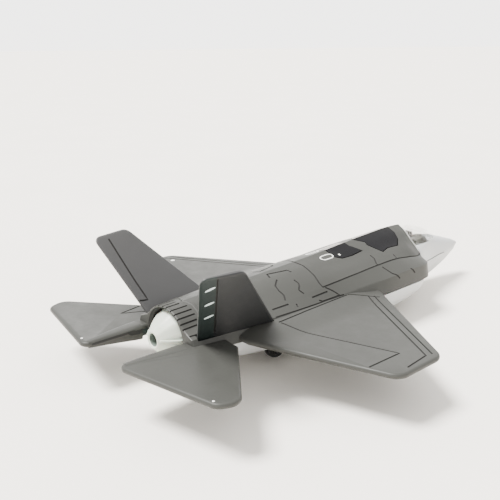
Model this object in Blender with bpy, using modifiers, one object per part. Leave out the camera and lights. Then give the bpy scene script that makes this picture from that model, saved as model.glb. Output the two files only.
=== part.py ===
"""Pocket die-cast toy jet with a metal upper body, a plastic belly and three rolling wheels.

Frame: +Z up, nose towards -Y, tail towards +Y, the aircraft's port (left) side towards +X.
The origin is on the ground, under the middle of the model's length.

Lengths below are in millimetres. A station is a distance aft of the nose tip, a half-width is
measured from the centre plane, and a height is measured from the ground under the wheels.
"""
import math

import bmesh
import bpy
from mathutils import Matrix, Vector

MM = 0.001

# Overall layout
LENGTH = 91.5
MID_STATION = LENGTH / 2
GAP = 0.3
WALL = 1.3

# How far a cutter runs past the surface it opens, and how far joined pieces overlap
CUT_CLEAR = 1.0
OVERLAP = 0.1

# Wing plane: wings and stabilators are flat plates cast with the upper body
PLATE_THICKNESS = 0.9
PARTING_HEIGHT = 7.3
PLATE_MID = PARTING_HEIGHT + PLATE_THICKNESS / 2
PLATE_EDGE = 0.28

# Plan outlines, (half-width, station, corner radius), walked from the root leading edge outboard
WING_OUTLINE = [
    (6.0, 41.0, 0), (11.0, 41.0, 0), (33.4, 55.7, 2.6), (33.4, 65.4, 2.4), (10.8, 72.7, 0), (6.0, 72.7, 0),
]
STABILATOR_OUTLINE = [
    (5.0, 78.6, 0), (8.1, 74.7, 0), (11.3, 75.0, 0), (24.1, 85.3, 2.2), (22.7, 88.4, 1.8),
    (4.6, 91.8, 1.5), (4.6, 83.0, 0),
]

# The wing's upper face rises to meet the body's shoulder, between two half-widths. The rise
# starts at the leading and trailing edges and is complete after the two chord lengths.
ROOT_RISE = 0.9
ROOT_RISE_SPAN = (9.3, 15.5)
ROOT_RISE_CHORD = (9.0, 4.0)
ROOT_RISE_STATIONS = (45.0, 50.0, 64.0, 68.7)

# A tapered boom carries each stabilator beside the nozzle
BOOM_FRONT = (6.0, 79.95, 7.05)
BOOM_REAR = (5.3, 90.3, 7.7)
BOOM_RADII = (1.35, 0.6)

# Upper body: the half section at each station, from the top centre out and down to the parting plane.
# Point 4 is the crease above the intake and point 5 is the intake's or the root's shoulder.
UPPER_SECTIONS = {
    21.7: [(0, 15.1), (1.7, 14.05), (2.95, 12.8), (4.35, 11.5), (5.5, 10.3), (5.95, 9.4), (6.1, 7.3)],
    23.6: [(0, 15.2), (2.0, 14.3), (3.5, 13.05), (5.0, 11.7), (6.5, 10.45), (8.3, 9.6), (8.6, 7.3)],
    25.4: [(0, 15.2), (2.1, 14.35), (3.85, 13.2), (5.6, 12.0), (7.2, 10.7), (9.9, 9.8), (10.3, 7.3)],
    27.3: [(0, 15.15), (2.15, 14.3), (4.05, 13.25), (5.9, 12.2), (7.4, 11.0), (10.4, 9.95), (10.8, 7.3)],
    32.2: [(0, 14.9), (2.2, 14.05), (4.0, 13.25), (5.9, 12.4), (7.45, 11.55), (10.4, 10.0), (10.9, 7.3)],
    37.8: [(0, 14.55), (2.2, 13.75), (4.0, 13.0), (5.9, 12.25), (7.45, 11.5), (10.2, 9.7), (10.9, 7.3)],
    43.4: [(0, 14.1), (2.2, 13.4), (4.0, 12.7), (5.8, 12.0), (7.4, 11.2), (9.6, 9.4), (10.6, 7.3)],
    52.7: [(0, 13.6), (2.2, 13.2), (4.0, 12.6), (5.8, 11.75), (7.3, 10.75), (9.2, 9.1), (10.2, 7.3)],
    65.1: [(0, 13.1), (2.1, 12.75), (4.0, 12.1), (5.7, 11.2), (7.1, 10.4), (9.1, 9.3), (9.9, 7.3)],
    72.5: [(0, 12.75), (2.0, 12.45), (3.8, 11.75), (5.3, 10.8), (6.5, 10.1), (8.2, 9.35), (9.2, 7.3)],
    80.2: [(0, 12.5), (1.9, 12.15), (3.5, 11.3), (4.7, 10.15), (5.5, 9.7), (6.9, 9.1), (7.7, 7.3)],
}
UPPER_CORNERS = (4, 5)
UPPER_FRONT = 21.7
UPPER_REAR = 80.2
UPPER_STATIONS = 15
CAVITY_REAR = 64.6
CAVITY_CENTRE = 6.7
CAVITY_STATIONS = 10

# Behind the cavity a narrower core leaves solid metal round the fin sockets
TAIL_CORE_STATIONS = (63.9, 73.9)
TAIL_CORE_WIDTH = 10.2
TAIL_CORE_HEIGHTS = (6.5, 9.9)

# Belly: the half section from the parting plane down and in to the keel, which is flat amidships
BELLY_TOP = PARTING_HEIGHT - GAP
BELLY_SECTIONS = {
    21.2: [(5.9, 7.0), (5.6, 5.0), (4.9, 3.4), (3.3, 2.4), (0, 2.1)],
    24.5: [(8.7, 7.0), (8.2, 5.0), (6.7, 3.4), (4.2, 2.1), (0, 1.8)],
    27.0: [(10.4, 7.0), (9.6, 4.9), (7.6, 2.8), (5.0, 1.6), (0, 1.6)],
    32.2: [(10.7, 7.0), (9.9, 4.7), (7.7, 2.3), (5.2, 1.6), (0, 1.6)],
    43.0: [(10.8, 7.0), (10.0, 4.7), (7.8, 2.3), (5.2, 1.6), (0, 1.6)],
    55.0: [(10.2, 7.0), (9.5, 4.8), (7.6, 2.5), (5.1, 1.6), (0, 1.6)],
    65.0: [(9.6, 7.0), (8.9, 5.1), (7.2, 3.1), (4.8, 2.2), (0, 2.0)],
    72.5: [(8.5, 7.0), (7.9, 5.4), (6.5, 3.8), (4.4, 2.8), (0, 2.4)],
    79.6: [(6.6, 7.0), (6.2, 5.6), (5.2, 4.2), (3.5, 3.1), (0, 2.7)],
}
BELLY_CORNERS = (2, 3)
BELLY_FRONT = 21.2
BELLY_REAR = 79.6
BELLY_STATIONS = 12

# Nose: the half section from the top centre round the chine (point 4) to the keel
NOSE_SECTIONS = {
    0.0: [(0, 7.35), (0.12, 7.25), (0.24, 7.12), (0.3, 7.0), (0.32, 6.9), (0.26, 6.7), (0.15, 6.6), (0, 6.5)],
    2.2: [(0, 8.25), (0.6, 8.1), (1.0, 7.75), (1.2, 7.3), (1.3, 6.9), (1.05, 6.1), (0.6, 5.65), (0, 5.45)],
    6.3: [(0, 9.55), (1.0, 9.3), (1.75, 8.7), (2.1, 7.9), (2.3, 6.8), (1.8, 5.1), (1.05, 4.15), (0, 3.85)],
    10.7: [(0, 10.9), (1.35, 10.6), (2.35, 9.8), (2.8, 8.55), (3.0, 7.0), (2.4, 4.5), (1.5, 3.1), (0, 2.75)],
    14.0: [(0, 11.9), (1.9, 11.5), (3.0, 10.6), (3.4, 8.9), (3.5, 6.9), (3.0, 4.4), (2.0, 2.7), (0, 2.3)],
    18.0: [(0, 12.4), (2.6, 12.0), (4.0, 10.85), (4.5, 9.2), (4.6, 7.2), (4.1, 4.6), (2.8, 2.6), (0, 2.1)],
    21.4: [(0, 12.4), (3.1, 12.0), (5.1, 10.6), (5.7, 9.2), (5.9, 7.4), (5.4, 4.7), (3.7, 2.55), (0, 2.1)],
}
NOSE_CORNERS = (4,)
NOSE_TIP = [0.0, 1.0]
NOSE_FRONT = 2.2
NOSE_REAR = 21.4
NOSE_STATIONS = 10

# Cockpit: the well below the windscreen, the tub in it with its coaming, and the seat
WELL_MIDDLE = 16.5
WELL_SIZE = (4.0, 7.6)
WELL_TOP = 11.2
COCKPIT_FLOOR = 8.6
TUB_SIZE = (3.4, 7.0, 1.1)
SEAT_WELL_STATION = 18.0
SEAT_WELL_SIZE = (2.4, 3.4, 1.4)
SEAT_WELL_DEPTH = 0.6
COAMING_STATION = 14.7
COAMING_RADIUS = 1.25
COAMING_WIDTH = 2.6
SEAT_WIDTH = 1.9
SEAT_STATION = 18.0
SEAT_LENGTH = 2.4
SEAT_HEIGHTS = (0.8, 1.6)
BACK_STATION = 18.9
BACK_THICKNESS = 0.8
BACK_TOP = 2.7
HEADREST_SIZE = (1.5, 1.0)
HEADREST_TOP = 4.1

# Windscreen: the outer half section from the top centre down to the sill
SCREEN_SECTIONS = {
    10.9: [(0, 11.5), (0.45, 11.4), (0.9, 11.1), (1.25, 10.7), (1.4, 10.2)],
    12.2: [(0, 12.35), (0.8, 12.15), (1.5, 11.6), (1.95, 10.95), (2.15, 10.2)],
    14.0: [(0, 13.25), (1.1, 12.95), (2.0, 12.2), (2.65, 11.2), (2.85, 10.2)],
    17.8: [(0, 14.25), (1.5, 13.75), (2.75, 12.75), (3.6, 11.45), (3.95, 10.2)],
    21.3: [(0, 14.75), (1.6, 13.75), (2.85, 12.6), (4.25, 11.35), (5.0, 10.2)],
}
SCREEN_BASE = 10.2
SCREEN_WALL = 0.7
SCREEN_STATIONS = 8
SCREEN_FRONT = 10.9
SCREEN_REAR = 21.3
SCREEN_HOLLOW_FRONT = 12.2

# Dorsal panels: plan outlines of the two gloss black inserts and their depth below the skin. The
# upright prisms that shape them start below the skin's shoulder and end above the whole body.
REAR_WINDOW_OUTLINE = [
    (0, 25.5), (1.9, 25.7), (3.4, 26.5), (4.8, 28.3), (4.7, 31.4), (5.2, 33.4), (2.5, 34.9), (1.7, 34.6),
    (0, 36.4),
]
DORSAL_PANEL_OUTLINE = [(0, 38.7), (1.1, 38.6), (3.3, 37.2), (3.5, 40.4), (3.3, 42.9), (2.5, 44.0), (0, 44.0)]
INSERT_DEPTH = 0.9
INSERT_STATIONS = 9
PRISM_TOP = 20.0
PRISM_DROP = 3.0

# Exhaust nozzle and its tunnel
NOZZLE_HEIGHT = 7.65
NOZZLE_RADIUS = 4.0
NOZZLE_PROFILE = [(4.0, 79.2), (3.65, 80.0), (2.6, 81.4), (1.45, 82.5)]
NOZZLE_FRONT = 73.5
NOZZLE_SIDES = 20
NOZZLE_BORE = 1.05
NOZZLE_BORE_DEPTH = 4.0

# Fins: a plate that leans outboard and toes out, on a root line along the shoulder
FIN_ROOT = (9.0, 65.9, 9.4)
FIN_TOE = math.radians(9.4)
FIN_CANT = math.radians(33.6)
FIN_THICKNESS = 1.2
FIN_TENON = 1.15
FIN_SLOT_DROP = 0.1
FIN_OUTLINE = [
    (0.0, -FIN_TENON, 0), (0.0, 0.0, 0), (9.9, 14.3, 2.0), (16.8, 14.15, 1.0), (13.4, 0.0, 0),
    (13.4, -FIN_TENON, 0),
]

# Landing gear: a fork with two cheeks and a bridge carries each wheel on its own axle
WHEEL_RADIUS = 2.1
WHEEL_WIDTH = 1.5
AXLE_RADIUS = 0.5
AXLE_HOLE_RADIUS = 0.55
FORK_CLEARANCE = 0.25
FORK_CHEEK = 0.7
FORK_ROOF = 5.6
FORK_BRIDGE = 0.7
FORK_LENGTH = 2.6
FORK_BASE = 1.1

# Wheel: (radius, depth below the side face) from the bore out to the tread
WHEEL_FACE = [
    (0.6, 0.0), (1.15, 0.0), (1.25, 0.15), (1.45, 0.15), (1.55, 0.0), (1.85, 0.0), (2.03, 0.12), (2.1, 0.35),
]

# Where the wheels stand: (name, half-width of the wheel's middle, station)
GEAR = [("nose", 0.0, 24.6), ("port", 5.0, 61.5), ("starboard", -5.0, 61.5)]
WELL_LENGTH = 5.4

# Screws that hold the two halves together from below. A point and a chamfer are each given as
# (radius, length), and the cross recess as the size of one arm, cut half into the head.
SCREW_STATIONS = {"front_screw": 33.5, "rear_screw": 55.5}
SCREW_HEAD_RADIUS = 1.4
SCREW_HEAD_HEIGHT = 0.9
SCREW_HEAD_BASE = 3.0
SCREW_SHANK_RADIUS = 0.6
SCREW_TOP = 10.6
SCREW_POINT = (0.3, 0.6)
SCREW_CHAMFER = (0.4, 0.35)
SCREW_CROSS = (1.7, 0.4, 0.9)
PILOT_RADIUS = 0.7
POST_RADIUS = 1.7

# The hollow in the belly between the two screws
CORE_FRONT = 36.0
CORE_REAR = 53.0
CORE_WIDTH = 14.0
CORE_FLOOR = 3.2

SHARP_ANGLE = math.radians(32)

# Material slots: (colour, roughness, metallic)
COLOURS = {
    "grey_paint": ((0.205, 0.209, 0.193), 0.42, 0.25),
    "light_plastic": ((0.56, 0.58, 0.58), 0.45, 0.0),
    "cream_plastic": ((0.68, 0.72, 0.62), 0.40, 0.0),
    "smoke_clear": ((0.75, 0.70, 0.60), 0.08, 0.0),
    "gloss_black": ((0.022, 0.022, 0.024), 0.12, 0.0),
    "dark_plastic": ((0.10, 0.085, 0.07), 0.55, 0.0),
    "black_plastic": ((0.03, 0.03, 0.03), 0.50, 0.0),
    "wheel_plastic": ((0.02, 0.02, 0.02), 0.60, 0.0),
    "steel": ((0.55, 0.55, 0.56), 0.30, 1.0),
}


# ---------------------------------------------------------------- scene and materials

def clear_scene():
    for existing in list(bpy.data.objects):
        bpy.data.objects.remove(existing, do_unlink=True)


def new_collection(name):
    made = bpy.data.collections.new(name)
    bpy.context.scene.collection.children.link(made)
    return made


def make_materials():
    made = {}
    for name, (colour, roughness, metallic) in COLOURS.items():
        material = bpy.data.materials.new(name)
        material.use_nodes = True
        shader = material.node_tree.nodes["Principled BSDF"]
        shader.inputs["Base Color"].default_value = (*colour, 1.0)
        shader.inputs["Roughness"].default_value = roughness
        shader.inputs["Metallic"].default_value = metallic
        made[name] = material
    return made


def place(half_width, station, height):
    """A point in metres, in the model's frame."""
    return Vector((half_width * MM, (station - MID_STATION) * MM, height * MM))


def add_object(name, mesh, collection, material=None):
    made = bpy.data.objects.new(name, mesh)
    collection.objects.link(made)
    if material:
        mesh.materials.append(material)
    return made


def shade_round(made):
    """Shade a rounded piece smooth, apart from its real edges."""
    made.data.shade_smooth()
    made.data.set_sharp_from_angle(angle=SHARP_ANGLE)
    return made


# ---------------------------------------------------------------- curves and sections

def catmull(before, start, end, after, t):
    """A point on the smooth curve from start to end, as a tuple of any length."""
    return tuple(
        0.5 * (2 * b + (c - a) * t + (2 * a - 5 * b + 4 * c - d) * t ** 2 + (3 * b - a - 3 * c + d) * t ** 3)
        for a, b, c, d in zip(before, start, end, after)
    )


def smooth_polyline(points, steps, corners=()):
    """Resample a polyline with a smooth curve that keeps the listed points as corners."""
    last = len(points) - 1
    result = []
    for i in range(last):
        before = points[i - 1] if i > 0 and i not in corners else points[i]
        after = points[i + 2] if i + 2 <= last and (i + 1) not in corners else points[i + 1]
        for k in range(steps):
            result.append(catmull(before, points[i], points[i + 1], after, k / steps))
    result.append(points[last])
    return result


def section_at(sections, station):
    """The half section at a station, eased between the stations that the table gives."""
    stations = sorted(sections)
    station = min(max(station, stations[0]), stations[-1])
    index = max(i for i in range(len(stations) - 1) if stations[i] <= station)
    t = (station - stations[index]) / (stations[index + 1] - stations[index])
    around = [stations[min(max(index + k, 0), len(stations) - 1)] for k in (-1, 0, 1, 2)]
    return [catmull(*(sections[s][p] for s in around), t) for p in range(len(sections[stations[0]]))]


def spread(first, last, count):
    return [first + (last - first) * k / (count - 1) for k in range(count)]


def inset(profile, distance, centre_height):
    """Move a half section's points towards a point on the centre plane."""
    moved = []
    for half_width, height in profile:
        length = math.hypot(half_width, height - centre_height) or 1.0
        scale = 1.0 - distance / length
        moved.append((half_width * scale, centre_height + (height - centre_height) * scale))
    return moved


def full_ring(half_profile):
    """Mirror a half section into a whole ring, sharing the points on the centre plane."""
    mirrored = [(-half_width, height) for half_width, height in reversed(half_profile)]
    ring = list(half_profile) + mirrored
    unique = []
    for point in ring:
        if not unique or (Vector(point) - Vector(unique[-1])).length > 1e-6:
            unique.append(point)
    if (Vector(unique[0]) - Vector(unique[-1])).length < 1e-6:
        unique.pop()
    return unique


def loft(name, stations, rings, collection, material=None):
    """A closed solid through rings of points that lie across the listed stations."""
    bm = bmesh.new()
    loops = [
        [bm.verts.new(place(half_width, station, height)) for half_width, height in ring]
        for station, ring in zip(stations, rings)
    ]
    count = len(rings[0])
    for front, back in zip(loops, loops[1:]):
        for i in range(count):
            bm.faces.new((front[i], front[(i + 1) % count], back[(i + 1) % count], back[i]))
    bm.faces.new(loops[0])
    bm.faces.new(reversed(loops[-1]))
    bmesh.ops.recalc_face_normals(bm, faces=bm.faces)
    mesh = bpy.data.meshes.new(name)
    bm.to_mesh(mesh)
    bm.free()
    return add_object(name, mesh, collection, material)


def section_solid(
    name, sections, corners, stations, steps, collection, material=None, shrink=0.0, centre=0.0
):
    """A loft through a table of half sections, optionally shrunk to make a cavity."""
    rings = []
    for station in stations:
        half = smooth_polyline(section_at(sections, station), steps, corners)
        if shrink:
            half = inset(half, shrink, centre)
        rings.append(full_ring(half))
    return shade_round(loft(name, stations, rings, collection, material))


# ---------------------------------------------------------------- plates, prisms and turned parts

def rounded_outline(corners, arc_steps=5):
    """Turn (x, y, radius) corners into points, with an arc at each corner that has a radius."""
    outline = []
    for i, (x, y, radius) in enumerate(corners):
        corner = Vector((x, y))
        if not radius:
            outline.append(corner)
            continue
        to_previous = (Vector(corners[i - 1][:2]) - corner).normalized()
        to_next = (Vector(corners[(i + 1) % len(corners)][:2]) - corner).normalized()
        half_angle = to_previous.angle(to_next) / 2
        centre = corner + (to_previous + to_next).normalized() * radius / math.sin(half_angle)
        first = corner + to_previous * radius / math.tan(half_angle) - centre
        last = corner + to_next * radius / math.tan(half_angle) - centre
        turn = first.angle_signed(last)
        for k in range(arc_steps + 1):
            outline.append(centre + Matrix.Rotation(-turn * k / arc_steps, 2) @ first)
    return outline


def plate(name, outline, thickness, matrix, collection, material=None, edge=0.0):
    """A flat plate cut to an outline in millimetres, with softened edges, placed by a matrix."""
    curve = bpy.data.curves.new(name, "CURVE")
    curve.dimensions = "2D"
    curve.fill_mode = "BOTH"
    curve.extrude = thickness * MM / 2
    spline = curve.splines.new("POLY")
    spline.points.add(len(outline) - 1)
    for point, corner in zip(spline.points, outline):
        point.co = (corner[0] * MM, corner[1] * MM, 0, 1)
    spline.use_cyclic_u = True
    drawn = bpy.data.objects.new(name + "_outline", curve)
    collection.objects.link(drawn)
    mesh = bpy.data.meshes.new_from_object(drawn.evaluated_get(bpy.context.evaluated_depsgraph_get()))
    bpy.data.objects.remove(drawn)
    bm = bmesh.new()
    bm.from_mesh(mesh)
    bmesh.ops.remove_doubles(bm, verts=bm.verts, dist=1e-6)
    bmesh.ops.dissolve_limit(bm, angle_limit=1e-3, verts=bm.verts, edges=bm.edges)
    bmesh.ops.recalc_face_normals(bm, faces=bm.faces)
    if edge:
        rims = [e for e in bm.edges if abs(e.verts[0].co.z - e.verts[1].co.z) < 1e-7]
        bmesh.ops.bevel(bm, geom=rims, offset=edge * MM, segments=2, profile=0.6, affect="EDGES")
    bmesh.ops.transform(bm, matrix=matrix, verts=bm.verts)
    bmesh.ops.recalc_face_normals(bm, faces=bm.faces)
    bm.to_mesh(mesh)
    bm.free()
    mesh.name = name
    return add_object(name, mesh, collection, material)


def plan_matrix(height):
    """Place a plate drawn as (half-width, station) flat at a height."""
    return Matrix.Translation(place(0, 0, height))


def box(name, centre, size, collection, material=None):
    mesh = bpy.data.meshes.new(name)
    bm = bmesh.new()
    bmesh.ops.create_cube(bm, size=1.0)
    scale = Matrix.Diagonal((size[0] * MM, size[1] * MM, size[2] * MM, 1.0))
    bmesh.ops.transform(bm, matrix=Matrix.Translation(place(*centre)) @ scale, verts=bm.verts)
    bm.to_mesh(mesh)
    bm.free()
    return add_object(name, mesh, collection, material)


def cylinder(name, radii, length, matrix, collection, material=None, sides=20):
    """A cylinder or cone along its own Z, centred on the matrix."""
    mesh = bpy.data.meshes.new(name)
    bm = bmesh.new()
    bmesh.ops.create_cone(
        bm, cap_ends=True, segments=sides, radius1=radii[0] * MM, radius2=radii[1] * MM, depth=length * MM
    )
    bmesh.ops.transform(bm, matrix=matrix, verts=bm.verts)
    bm.to_mesh(mesh)
    bm.free()
    return add_object(name, mesh, collection, material)


def upright(half_width, station, height):
    return Matrix.Translation(place(half_width, station, height))


def crosswise(half_width, station, height):
    """Place something turned about its own Z so that its axis lies across the model."""
    return upright(half_width, station, height) @ Matrix.Rotation(math.pi / 2, 4, "Y")


def lengthwise(half_width, station, height):
    """Place something turned about its own Z so that its axis points aft."""
    return upright(half_width, station, height) @ Matrix.Rotation(-math.pi / 2, 4, "X")


def turned(name, profile, sides, matrix, collection, material=None, closed=False):
    """A turned piece: (radius, height along the axis) points in millimetres, swept by a Screw."""
    mesh = bpy.data.meshes.new(name)
    points = [(radius * MM, 0.0, along * MM) for radius, along in profile]
    edges = [(i, i + 1) for i in range(len(points) - 1)]
    if closed:
        edges.append((len(points) - 1, 0))
    mesh.from_pydata(points, edges, [])
    made = add_object(name, mesh, collection, material)
    made.matrix_world = matrix
    screw = made.modifiers.new("turn", "SCREW")
    screw.steps = sides
    screw.render_steps = sides
    screw.use_merge_vertices = True
    screw.merge_threshold = 1e-6
    screw.use_smooth_shade = True
    return made


def cut(target, cutter, operation="DIFFERENCE"):
    """Add a Boolean that leaves the second object as a hidden cutter."""
    modifier = target.modifiers.new(operation.lower() + "_" + cutter.name, "BOOLEAN")
    modifier.operation = operation
    modifier.solver = "EXACT"
    modifier.object = cutter
    cutter.hide_render = True
    cutter.display_type = "WIRE"


def mirror_across(target):
    """Give a piece its copy on the other side of the centre plane."""
    modifier = target.modifiers.new("other_side", "MIRROR")
    modifier.use_axis = (True, False, False)
    modifier.merge_threshold = 1e-6
    modifier.use_mirror_merge = False


# ---------------------------------------------------------------- upper body

def mirrored_outline(half_outline):
    """Close a half outline that starts and ends on the centre plane."""
    other = [(-x, y) for x, y in reversed(half_outline[1:-1])]
    return list(half_outline) + other


def insert_prism(name, half_outline, grow, low, high, collection, material=None):
    """An upright prism over a dorsal insert's outline, grown about the outline's middle."""
    outline = mirrored_outline(half_outline)
    middle = sum(y for _, y in outline) / len(outline)
    reach_x = max(x for x, _ in outline)
    reach_y = max(abs(y - middle) for _, y in outline)
    grown = [
        (x * (1 + grow / reach_x), middle + (y - middle) * (1 + grow / reach_y)) for x, y in outline
    ]
    mid_height = (low + high) / 2
    return plate(name, grown, high - low, plan_matrix(mid_height), collection, material)


def fin_matrix(side):
    """From the fin's own (chord, span, thickness) axes to the model's frame."""
    toe = Matrix.Rotation(FIN_TOE, 3, "Z")
    chord = toe @ Vector((0, 1, 0))
    outboard = toe @ Vector((1, 0, 0))
    span = Vector((0, 0, 1)) * math.cos(FIN_CANT) + outboard * math.sin(FIN_CANT)
    normal = chord.cross(span)
    matrix = Matrix((chord, span, normal)).transposed().to_4x4()
    matrix.translation = place(*FIN_ROOT)
    if side < 0:
        matrix = Matrix.Diagonal((-1, 1, 1, 1)) @ matrix
    return matrix


def ease(value):
    value = min(max(value, 0.0), 1.0)
    return value * value * (3 - 2 * value)


def raise_wing_root(wing):
    """Lift the plate's upper face near the body, more in mid-chord than at its edges."""
    root_front, tip_front, tip_rear, root_rear = (WING_OUTLINE[i] for i in (1, 2, 3, 4))
    first, last = ROOT_RISE_SPAN
    bm = bmesh.new()
    bm.from_mesh(wing.data)
    for half_width in spread(first, last, 4):
        geometry = bm.verts[:] + bm.edges[:] + bm.faces[:]
        bmesh.ops.bisect_plane(bm, geom=geometry, plane_co=place(half_width, 0, 0), plane_no=(1, 0, 0))
    for station in ROOT_RISE_STATIONS:
        geometry = bm.verts[:] + bm.edges[:] + bm.faces[:]
        bmesh.ops.bisect_plane(bm, geom=geometry, plane_co=place(0, station, 0), plane_no=(0, 1, 0))
    for vert in bm.verts:
        half_width = vert.co.x / MM
        station = vert.co.y / MM + MID_STATION
        if vert.co.z / MM < PLATE_MID or half_width > last:
            continue
        outward = (half_width - root_front[0]) / (tip_front[0] - root_front[0])
        front = root_front[1] + outward * (tip_front[1] - root_front[1])
        rear = root_rear[1] + outward * (tip_rear[1] - root_rear[1])
        inside = min((station - front) / ROOT_RISE_CHORD[0], (rear - station) / ROOT_RISE_CHORD[1])
        vert.co.z += ROOT_RISE * MM * ease(inside) * ease((last - half_width) / (last - first))
    bm.to_mesh(wing.data)
    bm.free()


def make_tunnel(name, tools):
    """The bore that the nozzle's plug sits in, open at the tail."""
    radius = NOZZLE_RADIUS + GAP
    length = LENGTH - NOZZLE_FRONT
    spot = lengthwise(0, NOZZLE_FRONT - GAP + length / 2, NOZZLE_HEIGHT)
    return cylinder(name, (radius, radius), length, spot, tools, sides=32)


def make_upper_body(parts, tools, materials):
    stations = spread(UPPER_FRONT, UPPER_REAR, UPPER_STATIONS)
    body = section_solid(
        "upper_body", UPPER_SECTIONS, UPPER_CORNERS, stations, 2, parts, materials["grey_paint"]
    )
    wing = plate(
        "wing_tool", rounded_outline(WING_OUTLINE), PLATE_THICKNESS, plan_matrix(PLATE_MID), tools,
        edge=PLATE_EDGE,
    )
    raise_wing_root(wing)
    stabilator = plate(
        "stabilator_tool", rounded_outline(STABILATOR_OUTLINE), PLATE_THICKNESS, plan_matrix(PLATE_MID),
        tools, edge=PLATE_EDGE,
    )
    start, end = place(*BOOM_FRONT), place(*BOOM_REAR)
    aim = (end - start).to_track_quat("Z", "Y").to_matrix().to_4x4()
    middle = Matrix.Translation((start + end) / 2)
    boom = cylinder("boom_tool", BOOM_RADII, (end - start).length / MM, middle @ aim, tools, sides=12)
    shade_round(boom)
    for tool in (wing, stabilator, boom):
        mirror_across(tool)
        cut(body, tool, "UNION")

    cavity_stations = spread(UPPER_FRONT - CUT_CLEAR, CAVITY_REAR, CAVITY_STATIONS)
    cavity = section_solid(
        "upper_cavity", UPPER_SECTIONS, UPPER_CORNERS, cavity_stations, 1, tools, None, WALL, CAVITY_CENTRE
    )
    cut(body, cavity)
    first, last = TAIL_CORE_STATIONS
    low, high = TAIL_CORE_HEIGHTS
    core_centre = (0, (first + last) / 2, (low + high) / 2)
    cut(body, box("tail_core", core_centre, (TAIL_CORE_WIDTH, last - first, high - low), tools))
    for name, station in SCREW_STATIONS.items():
        roof = section_at(UPPER_SECTIONS, station)[0][1] - WALL / 2
        length = roof - PARTING_HEIGHT
        spot = upright(0, station, PARTING_HEIGHT + length / 2)
        cut(body, cylinder(name + "_post", (POST_RADIUS, POST_RADIUS), length, spot, tools), "UNION")
        depth = SCREW_TOP + GAP - PARTING_HEIGHT + CUT_CLEAR
        spot = upright(0, station, PARTING_HEIGHT - CUT_CLEAR + depth / 2)
        cut(body, cylinder(name + "_pilot", (PILOT_RADIUS, PILOT_RADIUS), depth, spot, tools, sides=12))

    cut(body, make_tunnel("upper_tunnel", tools))
    for side, label in ((1, "port"), (-1, "starboard")):
        middle = FIN_OUTLINE[-1][0] / 2
        grown = [
            (x + math.copysign(GAP, x - middle), y - FIN_SLOT_DROP, radius) for x, y, radius in FIN_OUTLINE
        ]
        slot = plate(
            label + "_fin_slot", rounded_outline(grown), FIN_THICKNESS + 2 * GAP, fin_matrix(side), tools
        )
        cut(body, slot)
    return body


def make_dorsal_insert(name, outline, body, parts, tools, materials):
    """A gloss insert flush with the skin, in a recess of its own outline."""
    first = min(y for _, y in outline)
    last = max(y for _, y in outline)
    stations = spread(first - CUT_CLEAR, last + CUT_CLEAR, INSERT_STATIONS)
    low = section_at(UPPER_SECTIONS, last)[3][1] - PRISM_DROP
    insert = insert_prism(name, outline, -GAP / 2, low, PRISM_TOP, parts, materials["gloss_black"])
    skin = section_solid(name + "_skin", UPPER_SECTIONS, UPPER_CORNERS, stations, 2, tools)
    cut(insert, skin, "INTERSECT")
    bed = section_solid(
        name + "_bed", UPPER_SECTIONS, UPPER_CORNERS, stations, 2, tools, None, INSERT_DEPTH, PARTING_HEIGHT
    )
    cut(insert, bed)
    floor = section_solid(
        name + "_floor", UPPER_SECTIONS, UPPER_CORNERS, stations, 2, tools, None,
        INSERT_DEPTH + GAP, PARTING_HEIGHT,
    )
    recess = insert_prism(name + "_recess", outline, GAP / 2, low, PRISM_TOP, tools)
    cut(recess, floor)
    cut(body, recess)


def make_fin(side, label, parts, materials):
    plate(
        label + "_fin", rounded_outline(FIN_OUTLINE), FIN_THICKNESS, fin_matrix(side), parts,
        materials["grey_paint"], edge=PLATE_EDGE,
    )


# ---------------------------------------------------------------- lower body, cockpit and nozzle

def make_lower_body(parts, tools, materials):
    nose_stations = NOSE_TIP + spread(NOSE_FRONT, NOSE_REAR, NOSE_STATIONS)
    body = section_solid(
        "lower_body", NOSE_SECTIONS, NOSE_CORNERS, nose_stations, 2, parts, materials["light_plastic"]
    )
    belly = section_solid(
        "belly_tool", BELLY_SECTIONS, BELLY_CORNERS, spread(BELLY_FRONT, BELLY_REAR, BELLY_STATIONS), 2, tools
    )
    cut(body, belly, "UNION")

    pocket_stations = spread(SCREEN_FRONT, SCREEN_REAR, SCREEN_STATIONS)
    pocket_stations = [SCREEN_FRONT - GAP] + pocket_stations + [SCREEN_REAR + CUT_CLEAR]
    pocket = section_solid(
        "screen_pocket", SCREEN_SECTIONS, (), pocket_stations, 2, tools, None, -GAP, SCREEN_BASE
    )
    cut(body, pocket)
    well_centre = (0, WELL_MIDDLE, (COCKPIT_FLOOR + WELL_TOP) / 2)
    cut(body, box("cockpit_well", well_centre, (*WELL_SIZE, WELL_TOP - COCKPIT_FLOOR), tools))

    for label, half_width, station in GEAR:
        width = WHEEL_WIDTH + 2 * (FORK_CLEARANCE + FORK_CHEEK + GAP)
        roof = FORK_ROOF + GAP
        well = box(label + "_well", (half_width, station, roof / 2), (width, WELL_LENGTH, roof), tools)
        cut(body, well)
    middle = (CORE_FRONT + CORE_REAR) / 2
    height = BELLY_TOP + CUT_CLEAR - CORE_FLOOR
    core_size = (CORE_WIDTH, CORE_REAR - CORE_FRONT, height)
    core = box("belly_core", (0, middle, CORE_FLOOR + height / 2), core_size, tools)
    cut(body, core)
    for name, station in SCREW_STATIONS.items():
        shank = SCREW_SHANK_RADIUS + GAP
        head = SCREW_HEAD_RADIUS + GAP
        depth = PARTING_HEIGHT + CUT_CLEAR
        spot = upright(0, station, depth / 2 - CUT_CLEAR)
        cut(body, cylinder(name + "_hole", (shank, shank), depth, spot, tools, sides=16))
        depth = SCREW_HEAD_BASE + GAP + CUT_CLEAR
        spot = upright(0, station, depth / 2 - CUT_CLEAR)
        cut(body, cylinder(name + "_sink", (head, head), depth, spot, tools))
    cut(body, make_tunnel("lower_tunnel", tools))


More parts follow.
